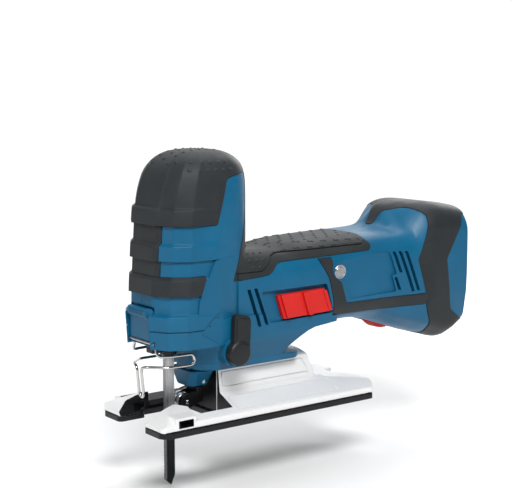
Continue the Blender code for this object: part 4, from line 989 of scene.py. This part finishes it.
# =============================== rear socket, screws ==================================
term = obj_from("term", box(-179.5, -166.0, -19, 19, 62, 112), M_BLACK)
for y in (-9.0, 9.0):
    boolean(term, box(-185, -171.0, y - 2.4, y + 2.4, 66, 108))
for y in (-3.6, 0.0, 3.6):
    boolean(term, box(-185, -176.0, y - 0.8, y + 0.8, 70, 104))
for s in (1, -1):
    boolean(term, box(-181, -177.6, s * 13.6, s * 17.2, 68, 106))
tidy(term); bevel(term, 0.5, 2, 40); smooth(term)
piece(term, "terminal_block_detail", "housing", "black_plastic", "battery_terminal_block")
for s, tag in ((1, "left"), (-1, "right")):
    rail = obj_from("rail", cross([(s * 26.6, 48), (s * 26.6, 120), (s * 20.6, 120), (s * 20.6, 117), (s * 24.0, 117), (s * 24.0, 48)], -179.6, -171.4), M_OXIDE)
    boolean(rail, cross([(s * 23, 50), (s * 25.0, 50), (s * 25.0, 114), (s * 23, 114)], -176.6, -174.4))
    tidy(rail); bevel(rail, 0.4, 2, 40); smooth(rail)
    piece(rail, "battery_rail_detail_" + tag, "housing", "dark_steel", "battery_rail_" + tag)

def star(cx, cz, r, n=6):
    return [(cx + (r if i % 2 else r * 0.72) * math.cos(math.pi * i / n), cz + (r if i % 2 else r * 0.72) * math.sin(math.pi * i / n)) for i in range(2 * n)]
for i, (x, z) in enumerate(SCREWS):
    sc = obj_from("screw", turned([(-26.4, 0), (-26.4, 1.8), (-26.5, 3.1), (-28.6, 3.1), (-29.2, 2.5), (-29.3, 0)][::-1], 'Y', x, z, 40), M_OXIDE)
    boolean(sc, side(soften(star(x, z, 1.75), 0.25, 2), -27.6, -31))
    tidy(sc); bevel(sc, 0.12, 2, 45); smooth(sc)
    piece(sc, "screw_%d_detail" % (i + 1), "housing", "dark_steel", "housing_screw_%d" % (i + 1))

# =============================== CAD nodes kept, with finished materials =================
KEEP = {M_CAST: ["gear_housing"], M_BOARD: ["control_board"],
        M_BLACK: ["switch_module", "switch_link", "brush_plate", "cooling_fan"],
        M_STEEL: ["gear_axle", "gear_axle_bearing", "motor_shaft", "pinion", "drive_gear", "eccentric_pin", "plunger", "fork_pivot_pin", "release_lever_pin",
                  "dial_axle", "motor_bearing_front", "motor_bearing_rear", "base_clamp_screw"],
        M_OXIDE: ["motor_can", "magnet_upper", "magnet_lower"], M_COPPER: ["armature_core", "commutator"],
        M_BRASS: ["plunger_bush_lower", "plunger_bush_upper", "contact_blade_1", "contact_blade_2"]}
for mat, names in KEEP.items():
    for nm in names:
        o = NODES[nm]
        for sl in o.material_slots:
            sl.material = mat
        if not o.material_slots:
            o.data.materials.append(mat)

# =============================== floor, light, camera =====================================
VIEW = Vector((-0.5973, -0.7918, 0.0)).normalized()
fl = Mat("floor_pale", 0.7, spec=0.2)
fl.color(fl.ramp(fl.noise(1.5, 2.0), [(0.3, (0.790, 0.793, 0.796)), (0.7, (0.81, 0.813, 0.816))]))
floor_z = CAD_BOX[0][2] / MM - 0.4
across = Vector((VIEW.y, -VIEW.x, 0.0))
prof = [(-2600.0, 0.0), (1300.0, 0.0)] + [(1300.0 + 900.0 * math.sin(a), 900.0 - 900.0 * math.cos(a)) for a in [math.radians(90 * k / 24) for k in range(1, 25)]] + [(2200.0, 3600.0)]
bm = bmesh.new()
rows = [[bm.verts.new(VIEW * u + across * v + Vector((0, 0, floor_z + h))) for v in (-4200.0, 4200.0)] for u, h in prof]
for p, q in zip(rows[:-1], rows[1:]):
    bm.faces.new((p[0], p[1], q[1], q[0]))
bmesh.ops.scale(bm, vec=(MM, MM, MM), verts=bm.verts)
me = bpy.data.meshes.new("floor")
bm.to_mesh(me)
bm.free()
me.shade_smooth()
me.materials.append(fl.done())
floor = bpy.data.objects.new("floor", me)
SCENE.collection.objects.link(floor)

w = bpy.data.worlds.new("studio")
SCENE.world = w
w.use_nodes = True
w.node_tree.nodes["Background"].inputs["Color"].default_value = (1.0, 1.0, 1.0, 1)
w.node_tree.nodes["Background"].inputs["Strength"].default_value = 0.13

def area(name, loc, target, size, power, color=(1, 1, 1)):
    l = bpy.data.lights.new(name, 'AREA')
    l.shape, l.size, l.size_y = 'RECTANGLE', size[0], size[1]
    l.energy = power
    l.color = color
    o = bpy.data.objects.new(name, l)
    SCENE.collection.objects.link(o)
    o.location = loc
    o.rotation_euler = (Vector(target) - Vector(loc)).to_track_quat('-Z', 'Y').to_euler()
    return o
area("key", (0.42, 0.86, 1.00), (-0.02, 0, 0.08), (0.55, 0.42), 19.0)
area("side", (1.25, -0.15, 0.45), (0.0, 0, 0.08), (0.35, 0.5), 2.6)
area("top", (-0.30, 0.15, 1.25), (-0.03, 0, 0.1), (0.9, 0.45), 3.4)
area("back", (-0.9, -0.45, 0.55), (-0.05, 0, 0.1), (0.5, 0.5), 3.0)
wash = VIEW * 1.0
area("backdrop", (wash.x, wash.y, 2.0), (wash.x * 2.2, wash.y * 2.2, 0.5), (2.4, 0.6), 46.0)

cam = bpy.data.cameras.new("camera")
cam.lens, cam.sensor_width, cam.clip_start = 84.66, 36.0, 0.02
co = bpy.data.objects.new("camera", cam)
SCENE.collection.objects.link(co)
co.location = (0.4715, 0.6437, 0.2140)
co.rotation_euler = Vector((-0.5973, -0.7918, -0.1277)).to_track_quat('-Z', 'Y').to_euler()
SCENE.camera = co
SCENE.view_settings.view_transform = 'Standard'
